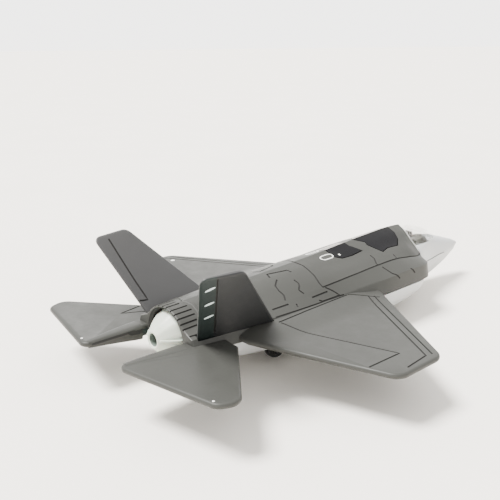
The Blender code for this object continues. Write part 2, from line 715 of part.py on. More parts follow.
def make_windscreen(parts, tools, materials):
    stations = spread(SCREEN_FRONT, SCREEN_REAR, SCREEN_STATIONS)
    screen = section_solid("windscreen", SCREEN_SECTIONS, (), stations, 2, parts, materials["smoke_clear"])
    inner_stations = spread(SCREEN_HOLLOW_FRONT, SCREEN_REAR + CUT_CLEAR, SCREEN_STATIONS)
    inner = section_solid(
        "screen_hollow", SCREEN_SECTIONS, (), inner_stations, 2, tools, None, SCREEN_WALL,
        SCREEN_BASE - CUT_CLEAR,
    )
    cut(screen, inner)


def make_cockpit(parts, tools, materials):
    dark = materials["dark_plastic"]
    floor = COCKPIT_FLOOR + GAP
    tub_height = TUB_SIZE[2]
    tub = box("cockpit_tub", (0, WELL_MIDDLE, floor + tub_height / 2), TUB_SIZE, parts, dark)
    well_middle = floor + tub_height - SEAT_WELL_DEPTH + SEAT_WELL_SIZE[2] / 2
    cut(tub, box("seat_well", (0, SEAT_WELL_STATION, well_middle), SEAT_WELL_SIZE, tools))
    spot = crosswise(0, COAMING_STATION, floor + tub_height)
    coaming = cylinder("coaming_tool", (COAMING_RADIUS, COAMING_RADIUS), COAMING_WIDTH, spot, tools, sides=16)
    cut(tub, coaming, "UNION")

    low, high = (floor + height for height in SEAT_HEIGHTS)
    seat_size = (SEAT_WIDTH, SEAT_LENGTH, high - low)
    seat = box("ejection_seat", (0, SEAT_STATION, (low + high) / 2), seat_size, parts, dark)
    for name, size, first, last in (
        ("seat_back_tool", (SEAT_WIDTH, BACK_THICKNESS), SEAT_HEIGHTS[0], BACK_TOP),
        ("headrest_tool", HEADREST_SIZE, BACK_TOP - OVERLAP, HEADREST_TOP),
    ):
        centre = (0, BACK_STATION, floor + (first + last) / 2)
        cut(seat, box(name, centre, (*size, last - first), tools), "UNION")


def make_nozzle(parts, materials):
    """A hollow-ended cone on a plug that the two body halves clamp."""
    end = NOZZLE_PROFILE[-1][1]
    bore_floor = end - NOZZLE_BORE_DEPTH
    outline = [(0.0, NOZZLE_FRONT), (NOZZLE_RADIUS, NOZZLE_FRONT)] + NOZZLE_PROFILE
    outline += [(NOZZLE_BORE, end), (NOZZLE_BORE, bore_floor), (0.0, bore_floor)]
    profile = [(radius, station - end) for radius, station in reversed(outline)]
    turned(
        "exhaust_nozzle", profile, NOZZLE_SIDES, lengthwise(0, end, NOZZLE_HEIGHT), parts,
        materials["cream_plastic"],
    )


# ---------------------------------------------------------------- landing gear and screws

def make_gear(label, half_width, station, parts, tools, materials):
    inner = WHEEL_WIDTH / 2 + FORK_CLEARANCE
    width = 2 * (inner + FORK_CHEEK)
    height = FORK_ROOF - FORK_BASE
    fork = box(
        label + "_gear_fork", (half_width, station, FORK_BASE + height / 2), (width, FORK_LENGTH, height),
        parts, materials["black_plastic"],
    )
    slot_height = FORK_ROOF - FORK_BRIDGE
    slot_size = (2 * inner, WELL_LENGTH, slot_height)
    slot = box(label + "_fork_slot", (half_width, station, slot_height / 2), slot_size, tools)
    cut(fork, slot)
    spot = crosswise(half_width, station, WHEEL_RADIUS)
    hole_radii = (AXLE_HOLE_RADIUS, AXLE_HOLE_RADIUS)
    cut(fork, cylinder(label + "_axle_hole", hole_radii, width + CUT_CLEAR, spot, tools, sides=16))

    radii = (AXLE_RADIUS, AXLE_RADIUS)
    shade_round(cylinder(label + "_axle", radii, width, spot, parts, materials["steel"], sides=16))

    outer = [(radius, WHEEL_WIDTH / 2 - depth) for radius, depth in WHEEL_FACE]
    profile = outer + [(radius, -along) for radius, along in reversed(outer)]
    turned(label + "_wheel", profile, 24, spot, parts, materials["wheel_plastic"], closed=True)


def make_screw(name, station, parts, tools, materials):
    head_low = SCREW_HEAD_BASE - SCREW_HEAD_HEIGHT
    head_radius = SCREW_HEAD_RADIUS
    outline = [(0.0, SCREW_TOP), (SCREW_POINT[0], SCREW_TOP)]
    outline += [(SCREW_SHANK_RADIUS, SCREW_TOP - SCREW_POINT[1]), (SCREW_SHANK_RADIUS, SCREW_HEAD_BASE)]
    outline += [(head_radius, SCREW_HEAD_BASE), (head_radius, head_low + SCREW_CHAMFER[1])]
    outline += [(head_radius - SCREW_CHAMFER[0], head_low), (0.0, head_low)]
    screw = turned(name, outline, 16, upright(0, station, 0), parts, materials["steel"])
    length, width, depth = SCREW_CROSS
    cut(screw, box(name + "_slot", (0, station, head_low), (width, length, depth), tools))
    cut(screw, box(name + "_cross", (0, station, head_low), (length, width, depth), tools))


def main():
    clear_scene()
    parts = new_collection("toy_jet")
    tools = new_collection("cutters")
    materials = make_materials()
    upper = make_upper_body(parts, tools, materials)
    make_dorsal_insert("rear_window", REAR_WINDOW_OUTLINE, upper, parts, tools, materials)
    make_dorsal_insert("dorsal_panel", DORSAL_PANEL_OUTLINE, upper, parts, tools, materials)
    make_fin(1, "port", parts, materials)
    make_fin(-1, "starboard", parts, materials)
    make_lower_body(parts, tools, materials)
    make_windscreen(parts, tools, materials)
    make_cockpit(parts, tools, materials)
    make_nozzle(parts, materials)
    for label, half_width, station in GEAR:
        make_gear(label, half_width, station, parts, tools, materials)
    for name, station in SCREW_STATIONS.items():
        make_screw(name, station, parts, tools, materials)


main()
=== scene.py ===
"""Looks of the pocket toy jet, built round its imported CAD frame.

Frame: +Z up, nose towards -Y, tail towards +Y, the aircraft's port (left) side towards +X.
Lengths are in millimetres until place() turns them into metres. A station is a distance aft of
the nose tip, a half-width is measured from the centre plane, and a height from the ground.
"""
import math

import bmesh
import bpy
from mathutils import Matrix, Vector
from mathutils.bvhtree import BVHTree


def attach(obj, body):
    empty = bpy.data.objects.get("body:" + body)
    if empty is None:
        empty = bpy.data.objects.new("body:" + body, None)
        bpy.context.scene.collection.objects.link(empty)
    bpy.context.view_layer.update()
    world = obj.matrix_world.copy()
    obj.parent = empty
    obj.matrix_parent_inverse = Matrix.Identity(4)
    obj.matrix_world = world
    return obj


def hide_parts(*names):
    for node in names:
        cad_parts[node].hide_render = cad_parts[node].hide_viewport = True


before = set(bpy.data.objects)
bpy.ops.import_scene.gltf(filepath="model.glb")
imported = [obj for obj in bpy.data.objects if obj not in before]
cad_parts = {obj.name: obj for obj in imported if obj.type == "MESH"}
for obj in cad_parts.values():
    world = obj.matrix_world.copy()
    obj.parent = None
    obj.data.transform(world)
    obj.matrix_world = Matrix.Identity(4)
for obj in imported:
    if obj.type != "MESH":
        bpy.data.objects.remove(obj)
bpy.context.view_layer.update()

MM = 0.001
MID_STATION = 45.75
GAP = 0.3
BODY = "airframe"

# Wing plane
PLATE_THICKNESS = 0.9
PARTING_HEIGHT = 7.3
PLATE_MID = PARTING_HEIGHT + PLATE_THICKNESS / 2
PLATE_TOP = PARTING_HEIGHT + PLATE_THICKNESS
PLATE_EDGE = 0.42

# Plan outlines, (half-width, station, corner radius), walked from the root leading edge outboard
WING_OUTLINE = [
    (6.0, 41.0, 0), (11.0, 41.0, 0), (33.4, 55.7, 2.6), (33.4, 65.4, 2.4), (10.8, 72.7, 0), (6.0, 72.7, 0),
]
STABILATOR_OUTLINE = [
    (5.0, 78.6, 0), (8.1, 74.7, 0), (11.3, 75.0, 0), (24.1, 85.3, 2.2), (22.7, 88.4, 1.8),
    (4.6, 91.8, 1.5), (4.6, 83.0, 0),
]

# The wing's upper face rises towards the body, between these half-widths and clear of its edges
ROOT_RISE = 0.9
ROOT_RISE_SPAN = (9.3, 15.5)
ROOT_RISE_CHORD = (9.0, 4.0)

# Each stabilator's boom and its neck: (station, middle half-width, half its width, low and high height)
BOOM_SECTIONS = [
    (81.3, 6.1, 1.5, 5.7, 8.35),
    (82.2, 6.05, 1.45, 5.8, 8.35),
    (84.5, 5.9, 1.25, 6.2, 8.33),
    (88.0, 5.55, 0.9, 6.8, 8.3),
    (90.6, 5.3, 0.6, 7.15, 8.24),
]
NECK_SECTIONS = [(78.5, 6.0, 1.3, 6.0, 8.1), (82.0, 6.0, 1.3, 6.0, 8.1)]
BOOM_SIDES = 40
BOOM_SQUARENESS = 0.55

# Upper body: half sections from the top centre out and down to the parting plane.
# Point 4 is the crease above the intake and point 5 is the intake's or the root's shoulder.
UPPER_SECTIONS = {
    21.7: [(0, 15.1), (1.7, 14.05), (2.95, 12.8), (4.35, 11.5), (5.5, 10.3), (5.95, 9.4), (6.1, 7.3)],
    23.6: [(0, 15.2), (2.0, 14.3), (3.5, 13.05), (5.0, 11.7), (6.5, 10.45), (8.3, 9.6), (8.6, 7.3)],
    25.4: [(0, 15.2), (2.1, 14.35), (3.85, 13.2), (5.6, 12.0), (7.2, 10.7), (9.9, 9.8), (10.3, 7.3)],
    27.3: [(0, 15.15), (2.15, 14.3), (4.05, 13.25), (5.9, 12.2), (7.4, 11.0), (10.4, 9.95), (10.8, 7.3)],
    32.2: [(0, 14.9), (2.2, 14.05), (4.0, 13.25), (5.9, 12.4), (7.45, 11.55), (10.4, 10.0), (10.9, 7.3)],
    37.8: [(0, 14.55), (2.2, 13.75), (4.0, 13.0), (5.9, 12.25), (7.45, 11.5), (10.2, 9.7), (10.9, 7.3)],
    43.4: [(0, 14.1), (2.2, 13.4), (4.0, 12.7), (5.8, 12.0), (7.4, 11.2), (9.6, 9.4), (10.6, 7.3)],
    52.7: [(0, 13.6), (2.2, 13.2), (4.0, 12.6), (5.8, 11.75), (7.3, 10.75), (9.2, 9.1), (10.2, 7.3)],
    65.1: [(0, 13.1), (2.1, 12.75), (4.0, 12.1), (5.7, 11.2), (7.1, 10.4), (9.1, 9.3), (9.9, 7.3)],
    72.5: [(0, 12.75), (2.0, 12.45), (3.8, 11.75), (5.3, 10.8), (6.5, 10.1), (8.2, 9.35), (9.2, 7.3)],
    80.2: [(0, 12.5), (1.9, 12.15), (3.5, 11.3), (4.7, 10.15), (5.5, 9.7), (6.9, 9.1), (7.7, 7.3)],
}
UPPER_CORNERS = (4, 5)
UPPER_FRONT = 21.7
UPPER_REAR = 80.2
CREASE = 4.0
SHOULDER = 5.0

# Belly: half sections from the parting plane down and in to the keel
BELLY_SECTIONS = {
    21.2: [(5.9, 7.0), (5.6, 5.0), (4.9, 3.4), (3.3, 2.4), (0, 2.1)],
    24.5: [(8.7, 7.0), (8.2, 5.0), (6.7, 3.4), (4.2, 2.1), (0, 1.8)],
    27.0: [(10.4, 7.0), (9.6, 4.9), (7.6, 2.8), (5.0, 1.6), (0, 1.6)],
    32.2: [(10.7, 7.0), (9.9, 4.7), (7.7, 2.3), (5.2, 1.6), (0, 1.6)],
    43.0: [(10.8, 7.0), (10.0, 4.7), (7.8, 2.3), (5.2, 1.6), (0, 1.6)],
    55.0: [(10.2, 7.0), (9.5, 4.8), (7.6, 2.5), (5.1, 1.6), (0, 1.6)],
    65.0: [(9.6, 7.0), (8.9, 5.1), (7.2, 3.1), (4.8, 2.2), (0, 2.0)],
    72.5: [(8.5, 7.0), (7.9, 5.4), (6.5, 3.8), (4.4, 2.8), (0, 2.4)],
    79.6: [(6.6, 7.0), (6.2, 5.6), (5.2, 4.2), (3.5, 3.1), (0, 2.7)],
}
BELLY_CORNERS = (2, 3)
BELLY_FRONT = 21.2
BELLY_REAR = 79.6
BELLY_TOP = 7.0

# A lofted body has this many steps between section points, and its end faces have rounded edges
SECTION_STEPS = 8
END_LIP = 0.3

# A blind duct's mouth, as (half-width, height), and the stations of its two ends
INTAKE_OUTLINE = [
    (6.7, 9.4), (8.4, 9.35), (9.6, 8.95), (9.95, 7.4), (9.4, 5.7), (8.3, 4.5), (7.2, 3.9), (6.6, 4.3),
]
INTAKE_STATIONS = (20.0, 29.5)

# Nose: half sections from the top centre round the chine (point 4) to the keel
NOSE_SECTIONS = {
    0.0: [(0, 7.35), (0.12, 7.25), (0.24, 7.12), (0.3, 7.0), (0.32, 6.9), (0.26, 6.7), (0.15, 6.6), (0, 6.5)],
    2.2: [(0, 8.25), (0.6, 8.1), (1.0, 7.75), (1.2, 7.3), (1.3, 6.9), (1.05, 6.1), (0.6, 5.65), (0, 5.45)],
    6.3: [(0, 9.55), (1.0, 9.3), (1.75, 8.7), (2.1, 7.9), (2.3, 6.8), (1.8, 5.1), (1.05, 4.15), (0, 3.85)],
    10.7: [(0, 10.9), (1.35, 10.6), (2.35, 9.8), (2.8, 8.55), (3.0, 7.0), (2.4, 4.5), (1.5, 3.1), (0, 2.75)],
    14.0: [(0, 11.9), (1.9, 11.5), (3.0, 10.6), (3.4, 8.9), (3.5, 6.9), (3.0, 4.4), (2.0, 2.7), (0, 2.3)],
    18.0: [(0, 12.4), (2.6, 12.0), (4.0, 10.85), (4.5, 9.2), (4.6, 7.2), (4.1, 4.6), (2.8, 2.6), (0, 2.1)],
    21.4: [(0, 12.4), (3.1, 12.0), (5.1, 10.6), (5.7, 9.2), (5.9, 7.4), (5.4, 4.7), (3.7, 2.55), (0, 2.1)],
}
NOSE_CORNERS = (4,)
NOSE_REAR = 21.4

# Windscreen and cockpit
SCREEN_SECTIONS = {
    10.9: [(0, 11.5), (0.45, 11.4), (0.9, 11.1), (1.25, 10.7), (1.4, 10.2)],
    12.2: [(0, 12.35), (0.8, 12.15), (1.5, 11.6), (1.95, 10.95), (2.15, 10.2)],
    14.0: [(0, 13.25), (1.1, 12.95), (2.0, 12.2), (2.65, 11.2), (2.85, 10.2)],
    17.8: [(0, 14.25), (1.5, 13.75), (2.75, 12.75), (3.6, 11.45), (3.95, 10.2)],
    21.3: [(0, 14.75), (1.6, 13.75), (2.85, 12.6), (4.25, 11.35), (5.0, 10.2)],
}
SCREEN_BASE = 10.2
SCREEN_WALL = 0.55
SCREEN_FRONT = 10.9
SCREEN_REAR = 21.3
SCREEN_HOLLOW_FRONT = 12.0
WELL_MIDDLE = 16.5
WELL_SIZE = (4.0, 7.6)
WELL_TOP = 11.2
COCKPIT_FLOOR = 8.6
SEAM = 0.1
TUB_FLOOR = COCKPIT_FLOOR + GAP
TUB_SIZE = (3.4, 7.0, 1.1)
TUB_TOP = TUB_FLOOR + TUB_SIZE[2]
COAMING_STATION = 14.7
COAMING_RADIUS = 1.25
COAMING_WIDTH = 2.6
COAMING_STRETCH = (1.5, 1.15)
CONSOLE_HALF_WIDTH = 1.32

# The seat's blocks on the centre plane: (name, station, height above the tub's floor, size, edge radius)
SEAT_BLOCKS = [
    ("pan", 18.0, 1.15, (1.9, 2.3, 0.7), 0.18),
    ("cushion", 17.9, 1.58, (1.5, 1.7, 0.3), 0.13),
    ("back", 18.95, 2.0, (1.9, 0.7, 2.2), 0.16),
    ("pad", 18.52, 2.1, (1.3, 0.36, 1.6), 0.14),
    ("headrest", 18.6, 3.4, (1.5, 1.5, 1.4), 0.22),
    ("parachute", 19.4, 3.1, (0.9, 0.5, 0.9), 0.12),
]

# The seat's blocks on both sides: (name, half-width, station, height above the floor, size, edge radius)
SEAT_PAIRS = [
    ("bolster", 0.86, 17.9, 1.6, (0.22, 1.8, 0.5), 0.08),
    ("wing", 0.84, 18.6, 2.2, (0.22, 0.5, 1.4), 0.08),
    ("strap", 0.34, 18.33, 2.2, (0.22, 0.1, 1.2), 0.03),
    ("rail", 0.6, 19.4, 1.9, (0.25, 0.35, 3.2), 0.06),
]

# Gloss black inserts in the spine
REAR_WINDOW_OUTLINE = [
    (0, 25.5), (1.9, 25.7), (3.4, 26.5), (4.8, 28.3), (4.7, 31.4), (5.2, 33.4), (2.5, 34.9), (1.7, 34.6),
    (0, 36.4),
]
DORSAL_PANEL_OUTLINE = [(0, 38.7), (1.1, 38.6), (3.3, 37.2), (3.5, 40.4), (3.3, 42.9), (2.5, 44.0), (0, 44.0)]
INSERT_DEPTH = 0.9
INSERT_CLEARANCE = 0.08
INSERT_PROUD = 0.03
RECESS_FLOOR_GAP = 0.1
PRISM_HEIGHTS = (9.0, 20.0)

# Exhaust nozzle and its tunnel
NOZZLE_HEIGHT = 7.65
NOZZLE_RADIUS = 4.0
NOZZLE_FRONT = 73.5
NOZZLE_END = 82.5
NOZZLE_PETALS = 12
NOZZLE_BORE = 1.05
NOZZLE_BORE_DEPTH = 4.0
PETAL_LENGTH = 3.35
PETAL_TIP = 1.25
TUNNEL_LENGTH = 12.0
TUNNEL_FLARE = 0.35

# The nozzle's outer side, as (radius, station)
NOZZLE_OUTER = [
    (4.0, 79.1), (3.98, 79.2), (3.86, 79.6), (3.64, 80.0), (3.2, 80.65), (2.6, 81.4), (2.05, 81.95),
    (1.6, 82.35),
]

# The ledge on each side of the nozzle, as (half-width, station)
LEDGE_OUTLINE = [
    (3.4, 79.4), (4.0, 79.4), (3.85, 80.15), (2.95, 81.35), (1.9, 82.3), (1.4, 82.3), (1.4, 81.4),
]
LEDGE_HEIGHT = 7.9
LEDGE_THICKNESS = 0.45

# Fins
FIN_ROOT = (9.0, 65.9, 9.4)
FIN_TOE = math.radians(9.4)
FIN_CANT = math.radians(33.6)
FIN_THICKNESS = 1.2
FIN_TRAILING = [(13.4, 0.0), (16.8, 14.15)]
FIN_OUTLINE = [
    (0.0, -1.15, 0), (0.0, 0.0, 0), (9.9, 14.3, 2.0), (16.8, 14.15, 1.0), (13.4, 0.0, 0), (13.4, -1.15, 0),
]
SOCKET_CLEARANCE = 0.03
SOCKET_GAP = 0.08

# The rudder's hinge line: chord at the root, and its rake per millimetre of height
RUDDER_ROOT = 10.75
RUDDER_RAKE = 0.2445
FIN_INNER_LINES = [[(14.25, 13.3), (13.6, 9.0), (13.0, 5.2), (12.3, 1.7), (14.1, 1.95)]]
FIN_OUTER_LINES = [[(RUDDER_ROOT + RUDDER_RAKE * h, h) for h in (0.6, 7.0, 13.9)]]

# The fin thins towards its trailing edge and its tip
TRAILING_TAPER = 0.5
TAPER_CHORD = 5.5
TIP_TAPER = 0.3
TAPER_CUTS = 7

# The outer face, with its rounded edges, is painted darker than the inner one as painted shade, and the inner
# face is painted lighter as painted light
OUTER_SKIN = 0.15

# Plain lozenges on the rudder: (chord, height) of the two ends of each
FIN_BARS = [((15.35, 11.4), (14.0, 12.15)), ((14.5, 8.05), (13.2, 8.7)), ((13.75, 4.85), (12.4, 5.5))]
BAR_WIDTH = 0.24
PRINT_THICKNESS = 0.04

# Landing gear
WHEEL_RADIUS = 2.1
WHEEL_WIDTH = 1.5
AXLE_RADIUS = 0.5
WHEEL_BORE = 0.6
FORK_CLEARANCE = 0.25
FORK_CHEEK = 0.7
FORK_ROOF = 5.6
FORK_BRIDGE = 0.7
FORK_LENGTH = 2.6
TREAD_NOTCHES = 18
HUB_POCKETS = 6
WELL_LENGTH = 5.4
DOOR_MARGIN = 0.7

# Each gear: (name, half-width of the wheel's middle, station)
GEAR = [("nose", 0.0, 24.6), ("port", 5.0, 61.5), ("starboard", -5.0, 61.5)]

SCREW_STATIONS = {"front_screw": 33.5, "rear_screw": 55.5}
SCREW_HEAD_RADIUS = 1.4
SCREW_FACE = 2.1

# Engraved lines
GROOVE_WIDTH = 0.15
GROOVE_DEPTH = 0.15
RIDGE_WIDTH = 0.22
RIDGE_DEPTH = 0.12
SAMPLE_STEP = 0.7

# Lines start just off the surface that they are laid on
ABOVE_PLATE = PLATE_TOP + 0.3
BELOW_PLATE = PARTING_HEIGHT - 0.2
BELOW_KEEL = 0.8
OFF_FIN = 0.7

# Lines on the upper skin, as (station, place round the half section), where 4 is the crease
SKIN_LINES = [
    [(22.3, 4.12), (24.5, 4.1), (27.5, CREASE), (52.4, CREASE)],
    [(52.3, 0.0), (51.9, 0.9), (52.1, 2.5), (52.5, 3.4), (52.4, CREASE)],
    [(31.8, 3.3), (31.9, 3.95)],
    [(36.9, 2.5), (36.9, 3.0), (37.7, 3.7), (37.6, 3.95)],
    [(37.1, 4.25), (36.3, 4.75), (34.9, 5.35)],
    [(31.4, 4.9), (30.4, 5.35)],
    [(52.0, 4.12), (50.8, 4.55), (50.1, 4.9), (51.2, 4.93), (54.3, 4.93), (54.9, 4.75)],
    [(55.9, 4.45), (52.1, 4.42)],
    [(64.7, 4.35), (61.2, 4.35)],
    [(60.0, 1.0), (59.6, 0.5), (55.6, 0.8), (55.3, 1.2)],
    [(59.3, 1.5), (60.7, 2.1), (60.9, 2.7), (60.7, 3.3), (61.2, 3.9)],
    [(56.5, 2.2), (56.3, 2.7), (56.6, 3.0), (57.3, 3.35), (56.9, 3.9)],
    [(59.7, 4.5), (59.9, 4.72)],
    [(49.2, SHOULDER), (65.2, SHOULDER)],
    [(80.0, 4.45), (77.6, 4.5), (77.2, 5.0)],
]

# Louvres round the top of the exhaust: (place round the half section, front station), all to the rear
LOUVRES = [(0.3, 77.6), (0.85, 77.0), (1.4, 76.9), (1.95, 77.0), (2.5, 77.2), (3.05, 77.6)]
LOUVRE_REAR = 80.6
LOUVRE_WIDTH = 0.14
LOUVRE_DEPTH = 0.18
RAISED_LINES = [[(76.7, 0.0), (76.1, 0.9), (76.2, 1.5), (76.3, 2.1), (76.6, 2.7), (77.2, 3.3)]]

# Lines on the wing and stabilator tops, as (half-width, station)
WING_LINES = [
    [(9.5, 48.6), (11.3, 45.3), (12.8, 43.6)],
    [(11.4, 45.2), (31.9, 57.6), (32.4, 62.6)],
    [(11.9, 44.1), (32.2, 56.5)],
    [(10.3, 65.8), (10.0, 59.8), (9.8, 54.5), (9.6, 48.8)],
    [(10.6, 65.6), (28.9, 59.7), (28.8, 66.4)],
]
PORT_STABILATOR_LINES = [[(12.4, 76.6), (11.6, 81.0), (9.5, 77.1)]]
UNDERSIDE_LINES = [
    [(12.5, 46.0), (31.9, 57.9), (32.3, 62.0)],
    [(12.5, 65.0), (28.9, 59.8), (28.8, 66.0)],
]

# Lines on the belly and the nose
NOSE_LINES = [[(8.5, 4.0), (20.9, 4.0)]]
BELLY_LINES = [
    [(2.6, 35.6), (2.6, 53.2)],
    [(0.0, 35.6), (2.6, 35.6), (6.4, 38.0), (6.4, 50.6), (2.6, 53.2), (0.0, 53.2)],
    [(0.0, 66.0), (3.4, 66.0), (3.0, 75.6)],
]

# Printed marks on the spine, and a painted highlight along the upper body's front edge, as (station, place
# round the half section)
MARK_MIDDLE = (45.5, 0.82)
MARK_HALF_LENGTH = 1.5
MARK_HALF_WIDTH = 0.62
DOT_SPOT = (42.6, 1.05)
FRONT_EDGE_HIGHLIGHT = [(UPPER_FRONT + 0.12, 0.35), (UPPER_FRONT + 0.12, 3.7)]

# Painted highlights: white dots on the plates where glints show, as (half-width, positive to port, station,
# radius)
PLATE_GLINT_DOTS = [(29.7, 57.6, 0.42), (6.9, 90.7, 0.2), (-21.7, 88.0, 0.18)]

# Camera: its place and the point it looks at, as (half-width, station, height)
CAMERA_PLACE = (-82.33, 135.2, 50.73)
CAMERA_AIM = (32.36, 33.97, 5.0)
CAMERA_ROLL = math.radians(-0.55)
CAMERA_LENS = 49.54

# Light: a wide key, a plain sky that is brighter overhead, and a bright backdrop
KEY_TOWARDS = (0.24, 0.37, 0.90)
KEY_STRENGTH = 10.8
KEY_ANGLE = math.radians(22)
SKY_STRENGTH = 1.6
HORIZON_STRENGTH = 2.6
OVERHEAD_STRENGTH = 2.0
FLOOR_HEIGHT = -0.2
FLOOR_RADIUS = 9000

# The backdrop's middle, and where it fades in, as the cosine of the angle from its middle
BACKDROP_TOWARDS = (0.745, -0.655, -0.12)
BACKDROP_SPREAD = (0.80, 0.90)
OVERHEAD_SPREAD = (0.35, 0.85)


# ---------------------------------------------------------------- curves, sections and solids

def place(half_width, station, height):
    """A point in metres, in the model's frame."""
    return Vector((half_width * MM, (station - MID_STATION) * MM, height * MM))


def catmull(before, start, end, after, t):
    return tuple(
        0.5 * (2 * b + (c - a) * t + (2 * a - 5 * b + 4 * c - d) * t ** 2 + (3 * b - a - 3 * c + d) * t ** 3)
        for a, b, c, d in zip(before, start, end, after)
    )


def smooth_point(points, at, corners=()):
    """The point at a fractional index along a smooth curve that keeps the listed points as corners."""
    last = len(points) - 1
    i = min(int(at), last - 1)
    before = points[i - 1] if i > 0 and i not in corners else points[i]
    after = points[i + 2] if i + 2 <= last and (i + 1) not in corners else points[i + 1]
    return catmull(before, points[i], points[i + 1], after, at - i)


def smooth_polyline(points, steps, corners=()):
    last = len(points) - 1
    return [smooth_point(points, k / steps, corners) for k in range(last * steps)] + [points[last]]


def section_at(sections, station):
    """The half section at a station, eased between the stations that the table gives."""
    stations = sorted(sections)
    station = min(max(station, stations[0]), stations[-1])
    index = max(i for i in range(len(stations) - 1) if stations[i] <= station)
    t = (station - stations[index]) / (stations[index + 1] - stations[index])
    around = [stations[min(max(index + k, 0), len(stations) - 1)] for k in (-1, 0, 1, 2)]
    return [catmull(*(sections[s][p] for s in around), t) for p in range(len(sections[stations[0]]))]


def spread(first, last, count):
    return [first + (last - first) * k / (count - 1) for k in range(count)]


def inset(profile, distance, centre_height):
    moved = []
    for half_width, height in profile:
        length = math.hypot(half_width, height - centre_height) or 1.0
        scale = 1.0 - distance / length
        moved.append((half_width * scale, centre_height + (height - centre_height) * scale))
    return moved


def full_ring(half_profile):
    mirrored = [(-half_width, height) for half_width, height in reversed(half_profile)]
    unique = []
    for point in list(half_profile) + mirrored:
        if not unique or (Vector(point) - Vector(unique[-1])).length > 1e-6:
            unique.append(point)
    if (Vector(unique[0]) - Vector(unique[-1])).length < 1e-6:
        unique.pop()
    return unique


def add_object(name, mesh, materials=()):
    made = bpy.data.objects.new(name, mesh)
    bpy.context.scene.collection.objects.link(made)
    for material in materials:
        mesh.materials.append(material)
    return made


def from_bmesh(name, bm, materials=()):
    mesh = bpy.data.meshes.new(name)
    bm.to_mesh(mesh)
    bm.free()
    return add_object(name, mesh, materials)


def loft(name, rings, materials=()):
    """A closed solid through rings of points in metres."""
    bm = bmesh.new()
    loops = [[bm.verts.new(point) for point in ring] for ring in rings]
    count = len(rings[0])
    for front, back in zip(loops, loops[1:]):
        for i in range(count):
            bm.faces.new((front[i], front[(i + 1) % count], back[(i + 1) % count], back[i]))
    bm.faces.new(loops[0])
    bm.faces.new(reversed(loops[-1]))
    bmesh.ops.recalc_face_normals(bm, faces=bm.faces)
    return from_bmesh(name, bm, materials)


def section_solid(name, sections, corners, stations, steps, materials=(), shrink=0.0, centre=0.0, lip=0.0):
    """A loft through half sections. A lip rounds the edges of its two end faces."""
    ends = (stations[0], stations[-1])
    extra = []
    if lip:
        for angle in (0, 30, 60):
            rise = lip * (1 - math.sin(math.radians(angle)))
            extra.append((ends[0] + lip * (1 - math.cos(math.radians(angle))), rise))
            extra.append((ends[1] - lip * (1 - math.cos(math.radians(angle))), rise))
        stations = [s for s in stations if ends[0] + lip <= s <= ends[1] - lip]
        stations = [ends[0] + lip] + stations + [ends[1] - lip]
    rows = sorted([(s, shrink) for s in set(stations)] + [(s, shrink + r) for s, r in extra])
    rings = []
    for station, amount in rows:
        half = smooth_polyline(section_at(sections, station), steps, corners)
        if amount:
            half = inset(half, amount, centre)
        rings.append([place(half_width, station, height) for half_width, height in full_ring(half)])
    return loft(name, rings, materials)


def rounded_outline(corners, arc_steps=10):
    outline = []
    for i, (x, y, radius) in enumerate(corners):
        corner = Vector((x, y))
        if not radius:
            outline.append(corner)
            continue
        to_previous = (Vector(corners[i - 1][:2]) - corner).normalized()
        to_next = (Vector(corners[(i + 1) % len(corners)][:2]) - corner).normalized()
        half_angle = to_previous.angle(to_next) / 2
        centre = corner + (to_previous + to_next).normalized() * radius / math.sin(half_angle)
        first = corner + to_previous * radius / math.tan(half_angle) - centre
        last = corner + to_next * radius / math.tan(half_angle) - centre
        turn = first.angle_signed(last)
        for k in range(arc_steps + 1):
            outline.append(centre + Matrix.Rotation(-turn * k / arc_steps, 2) @ first)
    return outline


def plate(name, outline, thickness, matrix, materials=(), edge=0.0, edge_steps=5):
    """A flat plate cut to an outline in millimetres, with rounded edges, placed by a matrix."""
    curve = bpy.data.curves.new(name, "CURVE")
    curve.dimensions = "2D"
    curve.fill_mode = "BOTH"
    curve.extrude = thickness * MM / 2
    spline = curve.splines.new("POLY")
    spline.points.add(len(outline) - 1)
    for point, corner in zip(spline.points, outline):
        point.co = (corner[0] * MM, corner[1] * MM, 0, 1)
    spline.use_cyclic_u = True
    drawn = bpy.data.objects.new(name + "_outline", curve)
    bpy.context.scene.collection.objects.link(drawn)
    mesh = bpy.data.meshes.new_from_object(drawn.evaluated_get(bpy.context.evaluated_depsgraph_get()))
    bpy.data.objects.remove(drawn)
    bm = bmesh.new()
    bm.from_mesh(mesh)
    bpy.data.meshes.remove(mesh)
    bmesh.ops.remove_doubles(bm, verts=bm.verts, dist=1e-6)
    bmesh.ops.dissolve_limit(bm, angle_limit=1e-3, verts=bm.verts, edges=bm.edges)
    bmesh.ops.recalc_face_normals(bm, faces=bm.faces)
    if edge:
        rims = [e for e in bm.edges if abs(e.verts[0].co.z - e.verts[1].co.z) < 1e-7]
        bmesh.ops.bevel(bm, geom=rims, offset=edge * MM, segments=edge_steps, profile=0.5, affect="EDGES")
    bmesh.ops.transform(bm, matrix=matrix, verts=bm.verts)
    bmesh.ops.recalc_face_normals(bm, faces=bm.faces)
    return from_bmesh(name, bm, materials)


def plan_matrix(height):
    return Matrix.Translation(place(0, 0, height))


def box(name, centre, size, edge=0.0, edge_steps=3):
    bm = bmesh.new()
    bmesh.ops.create_cube(bm, size=1.0)
    scale = Matrix.Diagonal((size[0] * MM, size[1] * MM, size[2] * MM, 1.0))
    bmesh.ops.transform(bm, matrix=Matrix.Translation(place(*centre)) @ scale, verts=bm.verts)
    if edge:
        bmesh.ops.bevel(
            bm, geom=bm.edges[:], offset=edge * MM, segments=edge_steps, profile=0.5, affect="EDGES"
        )
    return from_bmesh(name, bm)


def upright(half_width, station, height):
    return Matrix.Translation(place(half_width, station, height))


def crosswise(half_width, station, height):
    return upright(half_width, station, height) @ Matrix.Rotation(math.pi / 2, 4, "Y")


